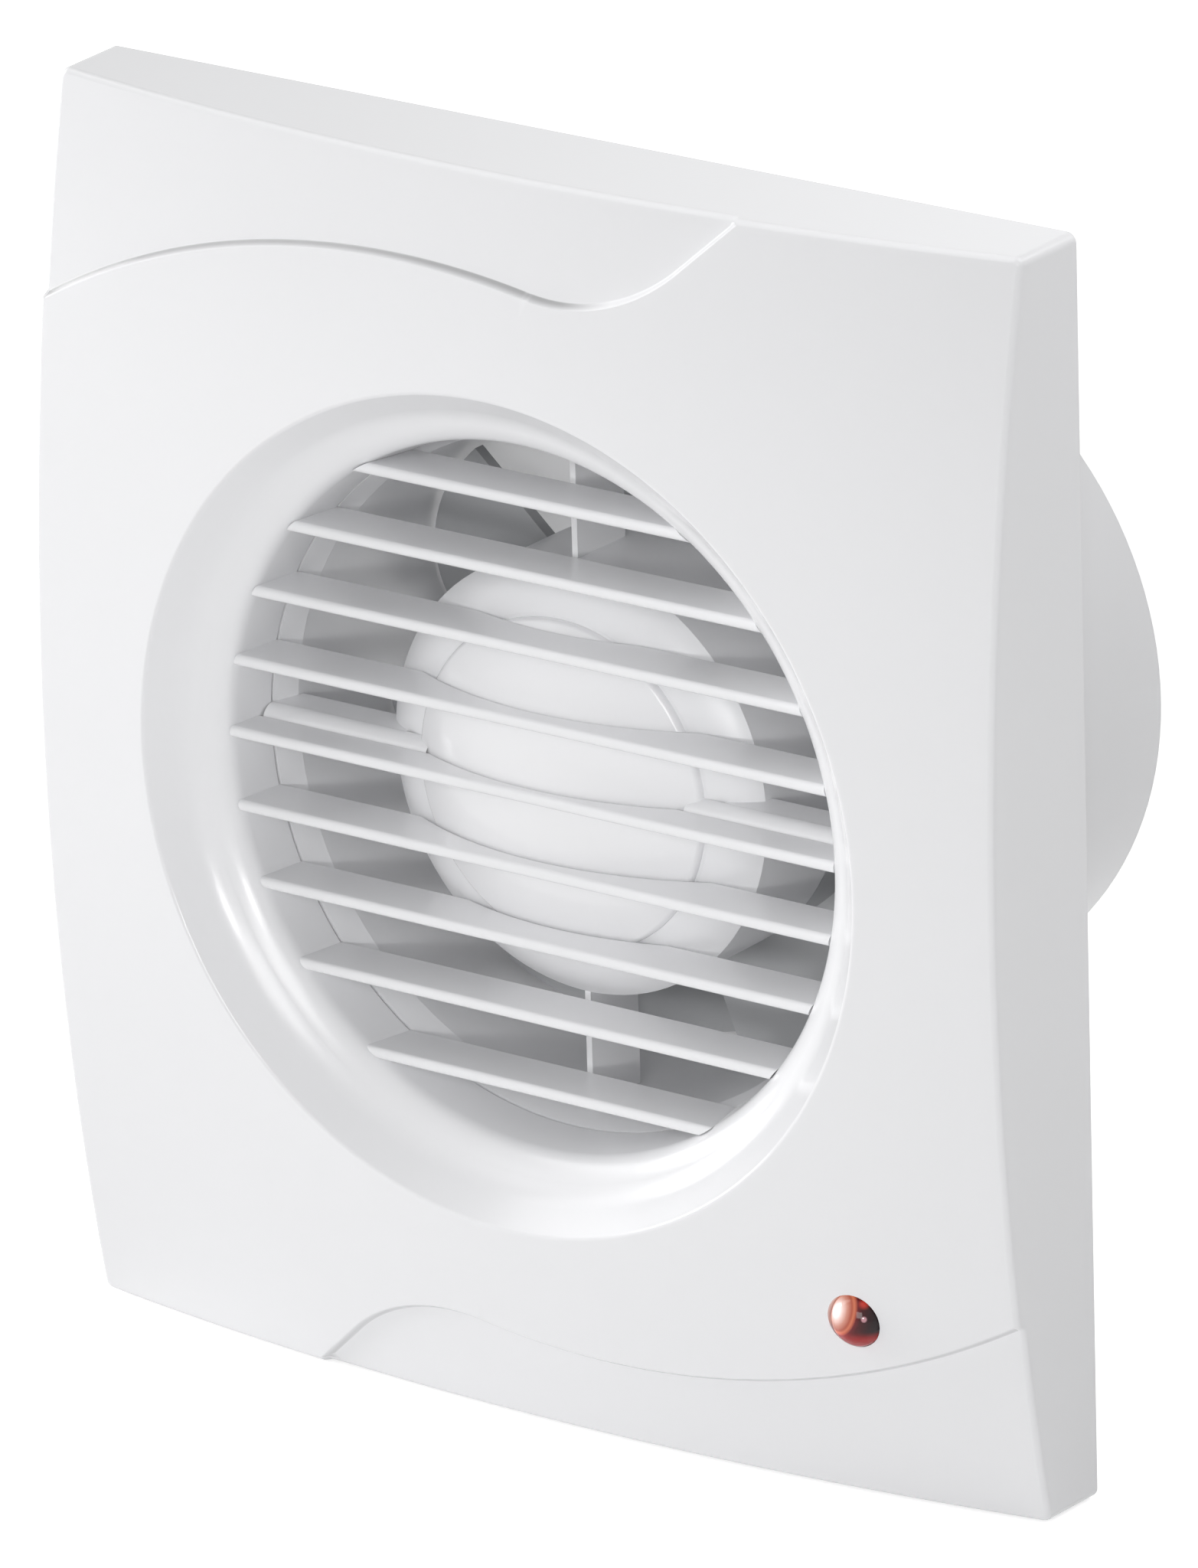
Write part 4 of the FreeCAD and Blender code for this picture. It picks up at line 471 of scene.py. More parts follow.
wave_lines = []
for offset in WAVE_OFFSETS:
    for sign, shift in ((1, UPPER_SHIFT), (-1, 0.0)):
        inside = []
        for x, z in wave_line(offset, WAVE_SPACING):
            to_edge = min(HALF_WIDTH - abs(x), HALF_HEIGHT - abs(z - shift))
            if to_edge > EDGE_ROUND + WAVE_END_ROOM:
                inside.append((x * sign, (z - shift) * sign))
        wave_lines.append(inside)
recess_circle = ((0.0, 0.0), RECESS_START, RECESS_SPOKES)
lens_circle = (LENS_PLACE, LENS_RADIUS + LENS_GAP, LENS_HOLE_SPOKES)
flat, triangles = drawn_face(
    [place for place, depth in front_rim], [recess_circle, lens_circle], wave_lines, GRID,
    lambda x, z: near_edge(x, z, GRID_ROOM) or near_wave(x, z, WAVE_ROOM))

cover = Patch()
# Every point of the face carries the painted shade of the folds.
for place in flat:
    x, z = place
    cover.add((x, face_depth(x, z), z), face_direction(x, z), painted_fold_shade(x, z))
for corners in triangles:
    cover.face(list(corners))
print("triangles of the face:", len(triangles))

# %% [markdown]
# ## The rounding, the side walls and the back rim
# From the rim of the face a quarter round leads into the side walls, which lean in by one degree so that
# the part leaves its mould. The walls end in a flat rim on the wall. Behind it, an inner skin follows
# the outer one at the thickness of the wall.

# %% Rounding and side walls
EDGE_STEPS = 8


def slope_out(place, out):
    """How much the dome falls over one millimetre outwards."""
    return dome(place.x, place.y) - dome(place.x + out.x, place.y + out.y)


rows = []
for step in range(EDGE_STEPS + 1):
    turn = math.radians(90.0 * step / EDGE_STEPS)
    row = []
    for (middle, out), (place, depth) in zip(rim, front_rim):
        slope = slope_out(place, out)
        far = place + out * EDGE_ROUND * math.sin(turn)
        low = depth - EDGE_ROUND * (1 - math.cos(turn)) - slope * EDGE_ROUND * math.sin(turn)
        lean = Vector((math.sin(turn) + slope * math.cos(turn), math.cos(turn)))
        row.append(cover.add((far.x, low, far.y), (out.x * lean.x, lean.y, out.y * lean.x)))
    rows.append(row)
top_depths = [-cover.points[number].y / MM for number in rows[-1]]
for share in (0.0, 0.25, 0.5, 0.75, 1.0):
    row = []
    for (middle, out), top in zip(rim, top_depths):
        depth = top * (1 - share)
        place = middle + out * (CORNER_ROUND - depth * DRAFT)
        row.append(cover.add((place.x, depth, place.y), (out.x, DRAFT, out.y)))
    rows.append(row)
cover.loops(rows)
print("rows from the face to the wall:", len(rows))

# %% [markdown]
# ## The hole for the cover screw
# One screw holds the cover from below. Its head sits in a conical hole of the lower side wall. A window
# of that wall is taken out and filled again with triangles that leave a circle free, and the cone and the
# bottom of the hole are set into the circle.

# %% Hole for the cover screw
SCREW_DEPTH = 5.0
SINK_RADIUS = 2.85
SINK_DEPTH = 2.2
SHANK_RADIUS = 1.55
SINK_SPOKES = 48
WINDOW_REACH = 5.0


def under(x, depth):
    """A point of the lower side wall."""
    return (x, depth, -HALF_HEIGHT + depth * DRAFT)


def in_window(number):
    """Whether a point of the side walls stands below, near the screw."""
    place = cover.points[number]
    return abs(place.x) < WINDOW_REACH * MM and place.z < 0.0


window = []
for row in rows[-3:]:
    inside = [number for number in row if in_window(number)]
    window.append(sorted(inside, key=lambda number: cover.points[number].x))
taken = set(sum(window, []))
cover.faces = [corners for corners in cover.faces if not taken.issuperset(corners)]
border = window[2] + [window[1][-1]] + window[0][::-1] + [window[1][0]]
circle = circle_points((0.0, SCREW_DEPTH), SINK_RADIUS, SINK_SPOKES)
flat = [Vector((cover.points[number].x / MM, -cover.points[number].y / MM)) for number in border]
flat += [Vector(place) for place in circle]
count = len(border)
edges = [(number, (number + 1) % count) for number in range(count)]
edges += [(count + number, count + (number + 1) % SINK_SPOKES) for number in range(SINK_SPOKES)]
flat, _, triangles, _, _, _ = delaunay_2d_cdt(flat, edges, [], 0, SAME_POINT)
offset = len(cover.points)
for x, depth in flat:
    cover.add(under(x, depth), (0.0, DRAFT, -1.0))
for corners in triangles:
    middle = sum((flat[corner] for corner in corners), Vector((0.0, 0.0))) / len(corners)
    if (middle - Vector((0.0, SCREW_DEPTH))).length > SINK_RADIUS * 0.99:
        cover.face([offset + corner for corner in corners])
sink_rows = [[], [], [], []]
share = SHANK_RADIUS / SINK_RADIUS
downward = (0.0, 0.0, -1.0)
for x, depth in circle:
    inward = (-x, SCREW_DEPTH - depth, 0.0)
    high = (x, depth, -HALF_HEIGHT + SINK_DEPTH)
    core = (x * share, SCREW_DEPTH + (depth - SCREW_DEPTH) * share, high[2])
    line = ((under(x, depth), inward), (high, inward), (high, downward), (core, downward))
    for row, (point, direction) in zip(sink_rows, line):
        row.append(cover.add(point, direction))
cover.loops(sink_rows[:2])
cover.loops(sink_rows[2:])
print("faces round the screw hole:", len(triangles))

# %% Back rim and inner skin
INNER_GRID = 7.0
INNER_ROOM = 4.0
INNER_SPOKES = 144

inner_dome = DOME_RADIUS - WAVE_STEP - WALL
rim_rows = []
for inset in (0.0, WALL):
    row = []
    for middle, out in rim:
        place = middle + out * (CORNER_ROUND - inset)
        row.append(cover.add((place.x, 0.0, place.y), (0.0, -1.0, 0.0)))
    rim_rows.append(row)
cover.loops(rim_rows)
inner_rows = []
inner_rim = []
for share in (0.0, 0.5, 1.0):
    row = []
    for middle, out in rim:
        place = middle + out * (CORNER_ROUND - WALL)
        top = dome(place.x, place.y, inner_dome)
        depth = top * share
        place = middle + out * (CORNER_ROUND - WALL - depth * DRAFT)
        row.append(cover.add((place.x, depth, place.y), (-out.x, 0.0, -out.y)))
        if share == 1.0:
            inner_rim.append(place)
    inner_rows.append(row)
cover.loops(inner_rows)
flat, triangles = drawn_face(inner_rim, [((0.0, 0.0), FUNNEL_START, INNER_SPOKES)], [], INNER_GRID,
                             lambda x, z: near_edge(x, z, INNER_ROOM))
offset = len(cover.points)
for x, z in flat:
    depth = dome(x, z, inner_dome)
    cover.add((x, depth, z), (x / DOME_RADIUS, -1.0, z / DOME_RADIUS))
for corners in triangles:
    cover.face([offset + corner for corner in corners])
print("faces of the cover so far:", len(cover.faces))

# %% [markdown]
# ## The recess and the bore
# The recess is a soft funnel: a rounded lip, a shallow valley, a low ridge and then the bore that holds
# the louvre slats. It is turned from one section, whose corners are given by radius, depth and rounding.
# Its first point lies on the dome and has the dome's direction, so no seam shows.

# %% Turn the recess
LIP = (58.0, dome(58.0, 0.0), 0.7)
VALLEY = (53.8, 19.3, 8.5)
RIDGE = (51.4, 18.1, 8.0)
BORE_MOUTH = (49.4, 16.3, 4.0)
BORE_END = (BORE_RADIUS, 8.2, 0.25)
BACK_OF_END = (BORE_RADIUS + WALL, 8.2, 0.25)
BACK_OF_MOUTH = (51.6, 15.4, 1.0)
BACK_OF_VALLEY = (56.0, 18.3, 2.0)
ARC_STEPS = 10

dome_start = (RECESS_START, dome(RECESS_START, 0.0), 0)
back_start = (FUNNEL_START, dome(FUNNEL_START, 0.0, inner_dome), 0)
section = rounded_section([dome_start, LIP, VALLEY, RIDGE, BORE_MOUTH, BORE_END,
                           BACK_OF_END, BACK_OF_MOUTH, BACK_OF_VALLEY, back_start], ARC_STEPS)
section = [(place, -direction) for place, direction in section]
tilt = RECESS_START / DOME_RADIUS
section[0] = (section[0][0], Vector((tilt, 1.0)).normalized())
spin(cover, section, RECESS_SPOKES)
print("points along the recess:", len(section))

# %% Lens hole
LENS_HOLE_DEPTH = 15.0

hole_rows = [[], []]
for x, z in circle_points(*lens_circle):
    inward = ((LENS_PLACE[0] - x) / LENS_RADIUS, 0.0, (LENS_PLACE[1] - z) / LENS_RADIUS)
    hole_rows[0].append(cover.add((x, face_depth(x, z), z), inward))
    hole_rows[1].append(cover.add((x, LENS_HOLE_DEPTH, z), inward))
cover.loops(hole_rows)
front_cover = make_piece("cover_shell", cover)
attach(front_cover, "housing")
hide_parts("front_cover")

# %% [markdown]
# ## The indicator lens
# The red lens is a deep glossy dome that stands well out of the cover, like half an egg. It is turned
# from a section as the recess was: a crown, and a straight skirt that goes down into the cover's hole.

# %% Turn the lens
LENS_CROWN = 3.0
CROWN_OUT = 0.65
CROWN_STEPS = 24
LENS_LENGTH = 6.0
LENS_SPOKES = 96

lens = Patch()
crown_top = dome(*LENS_PLACE) + LENS_CROWN * CROWN_OUT
lens_section = []
for step in range(CROWN_STEPS + 1):
    turn = math.radians(90.0 * step / CROWN_STEPS)
    place = Vector((LENS_RADIUS * math.sin(turn), crown_top - LENS_CROWN * (1 - math.cos(turn))))
    slope = Vector((math.sin(turn) / LENS_RADIUS, math.cos(turn) / LENS_CROWN)).normalized()
    lens_section.append((place, slope))
lens_section.append((Vector((LENS_RADIUS, crown_top - LENS_LENGTH)), Vector((1.0, 0.0))))
spin(lens, lens_section, LENS_SPOKES, LENS_PLACE)
red_lens = make_piece("red_lens", lens)
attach(red_lens, "housing")
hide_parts("indicator_lens")

# %% [markdown]
# ## The motor cap
# A flat dome closes the motor in the middle of the bore. Its rim is softly rounded and turns back into
# a short skirt. To the left and to the right a half tube runs to the wall of the bore. The dome is
# turned, the half tubes are pushed along X, and they run a little way into the dome so that no gap shows.

# %% Turn the cap
CAP_RADIUS = 23.1
CAP_RIM_DEPTH = 9.0
CAP_DEPTH = 14.3
CAP_SKIRT_DEPTH = 7.4
CAP_ROLL = 0.6
CAP_WALL = 1.4
CAP_STEPS = 27
ROLL_STEPS = 10
CAP_SPOKES = 192

cap_rise = CAP_DEPTH - CAP_RIM_DEPTH
cap_sphere = (CAP_RADIUS ** 2 + cap_rise ** 2) / (cap_rise * 2)
cap = Patch()
cap_line = []
for step in range(CAP_STEPS + 1):
    reach = (CAP_RADIUS - CAP_ROLL) * step / CAP_STEPS
    depth = CAP_DEPTH - cap_sphere + math.sqrt(cap_sphere ** 2 - reach ** 2)
    cap_line.append((Vector((reach, depth)), Vector((reach / cap_sphere, 1.0)).normalized()))
edge_place, edge_direction = cap_line[-1]
start_turn = math.atan2(edge_direction.x, edge_direction.y)
roll = (CAP_RADIUS - edge_place.x) / (1 - math.sin(start_turn))
roll_centre = edge_place - edge_direction * roll
for step in range(1, ROLL_STEPS + 1):
    turn = start_turn + (math.pi / 2 - start_turn) * step / ROLL_STEPS
    direction = Vector((math.sin(turn), math.cos(turn)))
    cap_line.append((roll_centre + direction * roll, direction))
outward, backward, inward = (1.0, 0.0), (0.0, -1.0), (-1.0, 0.0)
cap_inside = CAP_RADIUS - CAP_WALL
for place, direction in (
        ((CAP_RADIUS, CAP_SKIRT_DEPTH), outward), ((CAP_RADIUS, CAP_SKIRT_DEPTH), backward),
        ((cap_inside, CAP_SKIRT_DEPTH), backward), ((cap_inside, CAP_SKIRT_DEPTH), inward),
        ((cap_inside, CAP_RIM_DEPTH), inward), ((0.0, CAP_DEPTH - CAP_WALL), backward)):
    cap_line.append((Vector(place), Vector(direction)))
spin(cap, cap_line, CAP_SPOKES)
print("points along the cap:", len(cap_line))

# %% Half tubes of the cap
TUBE_RADIUS = 2.4
TUBE_FRONT_DEPTH = 8.1
TUBE_WALL = 0.8
TUBE_STEPS = 24
TUBE_IN_DOME = 2.0
TUBE_END_GAP = 0.1

tube_skins = ((TUBE_RADIUS, 1, TUBE_STEPS), (TUBE_RADIUS - TUBE_WALL, -1, TUBE_STEPS // 2))
for side in (1, -1):
    rows = []
    for x in (CAP_RADIUS - TUBE_IN_DOME, BORE_RADIUS - TUBE_END_GAP):
        row = []
        for radius, sign, steps in tube_skins:
            for step in range(steps + 1):
                turn = math.pi * (step / steps if sign > 0 else 1 - step / steps)
                direction = (0.0, math.sin(turn) * sign, math.cos(turn) * sign)
                point = (x * side, TUBE_FRONT_DEPTH + radius * math.sin(turn), radius * math.cos(turn))
                row.append(cap.add(point, direction))
        rows.append(row)
    cap.loops(rows)
motor_cap = make_piece("cap_shell", cap)
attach(motor_cap, "housing")
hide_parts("motor_cap")

# %% [markdown]
# ## Moulded plastic
# Nearly everything here is white plastic from a mould. Such a surface isn't dead flat: the polish of
# the steel mould leaves a very fine grain, the gloss changes a little from place to place where the melt
# cooled at its own pace, and the white has a faint warm or cool cast. One shader group makes these three
# things for every plastic of the fan, and each material gives it its own values.

# %% Groups for shaders
def start_group(name, inputs, outputs):
    """An empty shader group with its sockets, and its input and output nodes."""
    group = bpy.data.node_groups.new(name, "ShaderNodeTree")
    for label, kind, value in inputs:
        group.interface.new_socket(label, in_out="INPUT", socket_type=kind).default_value = value
    for label, kind in outputs:
        group.interface.new_socket(label, in_out="OUTPUT", socket_type=kind)
    return group, group.nodes.new("NodeGroupInput"), group.nodes.new("NodeGroupOutput")


def noise(tree, place, size, detail=2.0):
    """Noise whose patches are about one size, in metres, wide."""
    node = tree.nodes.new("ShaderNodeTexNoise")
    node.inputs["Detail"].default_value = detail
    node.inputs["Scale"].default_value = 1.0 / size
    tree.links.new(place, node.inputs["Vector"])
    return node.outputs["Fac"]


def calculate(tree, operation, *values):
    node = tree.nodes.new("ShaderNodeMath")
    node.operation = operation
    for socket, value in zip(node.inputs, values):
        if isinstance(value, float):
            socket.default_value = value
        else:
            tree.links.new(value, socket)
    return node.outputs["Value"]


def mixed(tree, share, first, second):
    node = tree.nodes.new("ShaderNodeMix")
    node.data_type = "RGBA"
    tree.links.new(share, node.inputs["Factor"])
    for socket, value in ((node.inputs["A"], first), (node.inputs["B"], second)):
        if isinstance(value, tuple):
            socket.default_value = (*value, 1.0)
        else:
            tree.links.new(value, socket)
    return node.outputs["Result"]


def varied_roughness(tree, values, patches):
    """The group's own roughness, a little more in some patches and less in others."""
    change = calculate(tree, "SUBTRACT", patches, 0.5)
    change = calculate(tree, "MULTIPLY", change, values.outputs["Spread"])
    return calculate(tree, "ADD", values.outputs["Roughness"], change)


# %% Plastic group
FINISH_OUTPUTS = [
    ("Color", "NodeSocketColor"),
    ("Roughness", "NodeSocketFloat"),
    ("Height", "NodeSocketFloat"),
]
GRAIN_SIZE = 0.0004
CLOUD_SIZE = 0.045
COOLING_SIZE = 0.012
COOLING_HEIGHT = 2.0

moulded, moulded_in, moulded_out = start_group("moulded_plastic", [
    ("Base", "NodeSocketColor", (0.8, 0.8, 0.8, 1.0)),
    ("Cast", "NodeSocketColor", (0.78, 0.78, 0.76, 1.0)),
    ("Roughness", "NodeSocketFloat", 0.4),
    ("Spread", "NodeSocketFloat", 0.06),
], FINISH_OUTPUTS)
place = moulded.nodes.new("ShaderNodeTexCoord").outputs["Object"]
grain = noise(moulded, place, GRAIN_SIZE)
cloud = noise(moulded, place, CLOUD_SIZE, 1.0)
cooling = noise(moulded, place, COOLING_SIZE)
moulded.links.new(mixed(moulded, cloud, moulded_in.outputs["Base"], moulded_in.outputs["Cast"]),
                  moulded_out.inputs["Color"])
moulded.links.new(varied_roughness(moulded, moulded_in, cooling), moulded_out.inputs["Roughness"])
swell = calculate(moulded, "MULTIPLY", cooling, COOLING_HEIGHT)
moulded.links.new(calculate(moulded, "ADD", grain, swell), moulded_out.inputs["Height"])
print("sockets of the plastic group:", [item.name for item in moulded.interface.items_tree])

# %% [markdown]
# ## Drawn and ground metal
# Screws, shaft and brackets are metal with fine lines from the tool. The lines come from noise that is
# squeezed in two directions and stretched in the third one.

# %% Metal group
LINE_WIDTH = 0.0004
STAIN_SIZE = 0.006

drawn, drawn_in, drawn_out = start_group("drawn_metal", [
    ("Base", "NodeSocketColor", (0.6, 0.6, 0.6, 1.0)),
    ("Dull", "NodeSocketColor", (0.45, 0.45, 0.44, 1.0)),
    ("Roughness", "NodeSocketFloat", 0.35),
    ("Spread", "NodeSocketFloat", 0.2),
    ("Stretch", "NodeSocketVector", (1.0, 0.05, 1.0)),
], FINISH_OUTPUTS)
place = drawn.nodes.new("ShaderNodeTexCoord").outputs["Object"]
stretch = drawn.nodes.new("ShaderNodeVectorMath")
stretch.operation = "MULTIPLY"
drawn.links.new(place, stretch.inputs[0])
drawn.links.new(drawn_in.outputs["Stretch"], stretch.inputs[1])
lines = noise(drawn, stretch.outputs["Vector"], LINE_WIDTH, 3.0)
stain = noise(drawn, place, STAIN_SIZE)
drawn.links.new(mixed(drawn, stain, drawn_in.outputs["Base"], drawn_in.outputs["Dull"]),
                drawn_out.inputs["Color"])
drawn.links.new(varied_roughness(drawn, drawn_in, lines), drawn_out.inputs["Roughness"])
drawn.links.new(lines, drawn_out.inputs["Height"])
print("sockets of the metal group:", [item.name for item in drawn.interface.items_tree])

# %% [markdown]
# ## Wound wire and stacked sheets
# The coils show turn beside turn of thin wire, and the stator shows the edges of its sheets. Both are
# even ridges: a sine of the distance from the duct axis for the turns, and of the depth for the sheets.

# %% Ridge group
WEAR_SIZE = 0.002
WEAR_SPREAD = 0.15

ridged, ridged_in, ridged_out = start_group("ridges", [
    ("Base", "NodeSocketColor", (0.6, 0.3, 0.15, 1.0)),
    ("Valley", "NodeSocketColor", (0.25, 0.1, 0.05, 1.0)),
    ("Roughness", "NodeSocketFloat", 0.35),
    ("Outward", "NodeSocketFloat", 1.0),
    ("Pitch", "NodeSocketFloat", 0.0005),
], FINISH_OUTPUTS)
place = ridged.nodes.new("ShaderNodeTexCoord").outputs["Object"]
parts = ridged.nodes.new("ShaderNodeSeparateXYZ")
ridged.links.new(place, parts.inputs["Vector"])
square = calculate(ridged, "ADD", calculate(ridged, "POWER", parts.outputs["X"], 2.0),
                   calculate(ridged, "POWER", parts.outputs["Z"], 2.0))
outward = calculate(ridged, "MULTIPLY", calculate(ridged, "SQRT", square), ridged_in.outputs["Outward"])
inward = calculate(ridged, "SUBTRACT", 1.0, ridged_in.outputs["Outward"])
run = calculate(ridged, "ADD", outward, calculate(ridged, "MULTIPLY", parts.outputs["Y"], inward))
turns = calculate(ridged, "DIVIDE", run, ridged_in.outputs["Pitch"])
turns = calculate(ridged, "MULTIPLY", turns, math.tau)
ridge = calculate(ridged, "MULTIPLY_ADD", calculate(ridged, "SINE", turns), 0.5, 0.5)
# The darker valley colour is painted shade between the wire turns, and the dark joints between the sheets.
ridged.links.new(mixed(ridged, ridge, ridged_in.outputs["Valley"], ridged_in.outputs["Base"]),
                 ridged_out.inputs["Color"])
wear = noise(ridged, place, WEAR_SIZE)
ridged.links.new(calculate(ridged, "MULTIPLY_ADD", wear, WEAR_SPREAD, ridged_in.outputs["Roughness"]),
                 ridged_out.inputs["Roughness"])
ridged.links.new(ridge, ridged_out.inputs["Height"])
print("sockets of the ridge group:", [item.name for item in ridged.interface.items_tree])

# %% [markdown]
# ## The materials
# A material is one of the groups, a bump node and a Principled shader. Values that stay the same all
# over a surface, such as how metallic it is, are set on the shader itself. The cover's colour also gets
# painted shade: it is darkened by the shade that its mesh carries in the folds.

# %% A material from a group
COLOUR_INPUTS = ("Base", "Cast", "Dull", "Valley")
FINE_BUMP = 0.00002
METAL_BUMP = 0.3


def make_material(name, group, values, bump, height, **fixed):
    """A material whose colour, roughness and bump come from a group; fixed values go to the shader."""
    material = bpy.data.materials.new(name)
    material.use_nodes = True
    tree = material.node_tree
    shader = tree.nodes["Principled BSDF"]
    surface = tree.nodes.new("ShaderNodeGroup")
    surface.node_tree = group
    for label, value in values.items():
        surface.inputs[label].default_value = (*value, 1.0) if label in COLOUR_INPUTS else value
    relief = tree.nodes.new("ShaderNodeBump")
    relief.inputs["Strength"].default_value = bump
    relief.inputs["Distance"].default_value = height
    tree.links.new(surface.outputs["Color"], shader.inputs["Base Color"])
    tree.links.new(surface.outputs["Roughness"], shader.inputs["Roughness"])
    tree.links.new(surface.outputs["Height"], relief.inputs["Height"])
    tree.links.new(relief.outputs["Normal"], shader.inputs["Normal"])
    for label, value in fixed.items():
        shader.inputs[label.replace("_", " ")].default_value = value
    return material


def plastic(name, base, cast, roughness, spread=0.06, bump=0.25, **fixed):
    values = {"Base": base, "Cast": cast, "Roughness": roughness, "Spread": spread}
    return make_material(name, moulded, values, bump, FINE_BUMP, **fixed)


def metal(name, base, dull, roughness, stretch=(1.0, 0.05, 1.0)):
    values = {"Base": base, "Dull": dull, "Roughness": roughness, "Stretch": stretch}
    return make_material(name, drawn, values, METAL_BUMP, FINE_BUMP, Metallic=1.0)


def ridges(name, base, valley, roughness, outward, pitch, bump, height, **fixed):
    values = {"Base": base, "Valley": valley, "Roughness": roughness, "Outward": outward, "Pitch": pitch}
    return make_material(name, ridged, values, bump, height, **fixed)


# %% All materials
materials = {
    "cover_white": plastic("gloss_white_plastic", (0.859, 0.861, 0.876), (0.848, 0.849, 0.862), 0.23),
    "inner_white": plastic("plain_white_plastic", (0.864, 0.866, 0.880), (0.854, 0.855, 0.867), 0.32),
    # The blades' grey is partly their plastic's own colour and partly painted shade of the dim duct.
    "impeller_plastic": plastic("blade_plastic_grey_with_painted_shade", (0.50, 0.508, 0.52), (0.47, 0.477, 0.49), 0.30),
    # The red lens shows painted glow through its emission, which is set further down.
    "lens_red": plastic("red_lens", (0.11, 0.012, 0.014), (0.09, 0.010, 0.012), 0.06, 0.01, 0.0,
                        Specular_IOR_Level=0.3, Emission_Strength=1.0),
    "cap_white": plastic("cap_white_plastic", (0.864, 0.865, 0.878), (0.856, 0.856, 0.868),
                         0.13, 0.03, 0.1),
    "screw_steel": metal("zinc_screw", (0.62, 0.62, 0.61), (0.50, 0.50, 0.48), 0.34),
    "shaft_steel": metal("ground_shaft", (0.66, 0.66, 0.67), (0.56, 0.56, 0.56), 0.22,
                         (0.05, 1.0, 0.05)),
    "bracket_aluminium": metal("stamped_aluminium", (0.78, 0.78, 0.79), (0.66, 0.66, 0.67), 0.38,
                               (0.2, 1.0, 1.0)),
    "bearing_bronze": metal("sintered_bronze", (0.60, 0.42, 0.20), (0.45, 0.31, 0.15), 0.50,
                            (1.0, 1.0, 1.0)),
    "bobbin_plastic": plastic("black_bobbin", (0.015, 0.015, 0.017), (0.022, 0.022, 0.023), 0.45),
    "washer_plastic": plastic("natural_nylon", (0.72, 0.69, 0.58), (0.66, 0.62, 0.50), 0.40),
    "terminal_plastic": plastic("ivory_terminal", (0.80, 0.78, 0.70), (0.76, 0.73, 0.64), 0.42),
    "grommet_rubber": plastic("black_rubber", (0.012, 0.012, 0.012), (0.025, 0.024, 0.023),
                              0.72, 0.15, 0.5),
    "board_green": plastic("green_laminate", (0.02, 0.11, 0.035), (0.03, 0.14, 0.05), 0.38),
    "lamp_body": plastic("red_lamp_resin", (0.50, 0.03, 0.015), (0.42, 0.02, 0.012), 0.12),
    "resistor_body": plastic("blue_lacquer", (0.33, 0.48, 0.55), (0.28, 0.42, 0.50), 0.25),
    "capacitor_body": plastic("dipped_red_box", (0.42, 0.03, 0.02), (0.36, 0.022, 0.015), 0.28),
    "lead_brown": plastic("brown_insulation", (0.09, 0.035, 0.014), (0.075, 0.028, 0.012), 0.45),
    "lead_blue": plastic("blue_insulation", (0.02, 0.06, 0.28), (0.016, 0.05, 0.24), 0.45),
    # The dark valleys between the turns of the winding are painted shade.
    "coil_copper": ridges("enamelled_winding", (0.55, 0.22, 0.08), (0.16, 0.05, 0.02), 0.28,
                          outward=1.0, pitch=0.00045, bump=0.8, height=0.0002,
                          Metallic=0.6, Coat_Weight=0.4),
    "stack_steel": ridges("sheet_stack", (0.36, 0.37, 0.39), (0.12, 0.12, 0.13), 0.42,
                          outward=0.0, pitch=0.0005, bump=0.6, height=0.0001, Metallic=0.9),
}
# Painted shade: the cover's colour is mixed towards black by the shade that its mesh carries in the folds.
tree = materials["cover_white"].node_tree
shader = tree.nodes["Principled BSDF"]
painted_shade_node = tree.nodes.new("ShaderNodeAttribute")
painted_shade_node.attribute_name = "painted_fold_shade"
skin = shader.inputs["Base Color"].links[0].from_socket
tree.links.new(mixed(tree, painted_shade_node.outputs["Fac"], skin, (0.0, 0.0, 0.0)), shader.inputs["Base Color"])
print("materials:", len(materials))

# %% [markdown]
# ## The lens, with painted glow
# The lamp stands behind the upper left of the lens, but in this scene it gives no light: the glow is
# painted.
# A painted white spot with a pale haze and a thin orange ring round it stands for the lit lamp and its
# highlight, a red patch is painted glow, and a small pink spot is a painted reflection. The far side gets
# painted shade, the lower side painted light in a stronger red. All of it hangs on the place on the dome,
# such as the distance from the hot point, so it is the same from every side. Light that comes out of a
# surface is its emission, which is where the painted glow is put.

# %% Painted glow of the lens
def distance_from(tree, place, centre):
    """Distance in millimetres from a point of the lens."""
    node = tree.nodes.new("ShaderNodeVectorMath")
    node.operation = "DISTANCE"
    tree.links.new(place, node.inputs[0])
    node.inputs[1].default_value = Vector(centre) * MM
    return calculate(tree, "MULTIPLY", node.outputs["Value"], 1.0 / MM)


def fade(tree, value, start, end):
    """One where the value is at the start, zero at the end, and a soft change between them."""
    node = tree.nodes.new("ShaderNodeMapRange")
    node.interpolation_type = "SMOOTHSTEP"
    tree.links.new(value, node.inputs["Value"])
    for label, number in (("From Min", start), ("From Max", end), ("To Min", 1.0), ("To Max", 0.0)):
        node.inputs[label].default_value = number
    return node.outputs["Result"]


# Painted highlight: a white hot spot with its haze and ring of painted glow, by distance from this point.
PAINTED_HIGHLIGHT_POINT = (52.17, -21.65, -59.11)
PAINTED_HALO_REACH = 4.0
PAINTED_HALO = [
    (0.00, (1.0, 1.0, 1.0)),
    (0.85, (1.0, 0.98, 0.96)),
    (1.30, (0.84, 0.64, 0.58)),
    (2.00, (0.55, 0.27, 0.20)),
    (2.65, (0.34, 0.085, 0.045)),
    (2.95, (0.52, 0.17, 0.085)),
    (3.15, (0.40, 0.10, 0.05)),
    (3.40, (0.06, 0.004, 0.006)),
    (3.90, (0.0, 0.0, 0.0)),
]
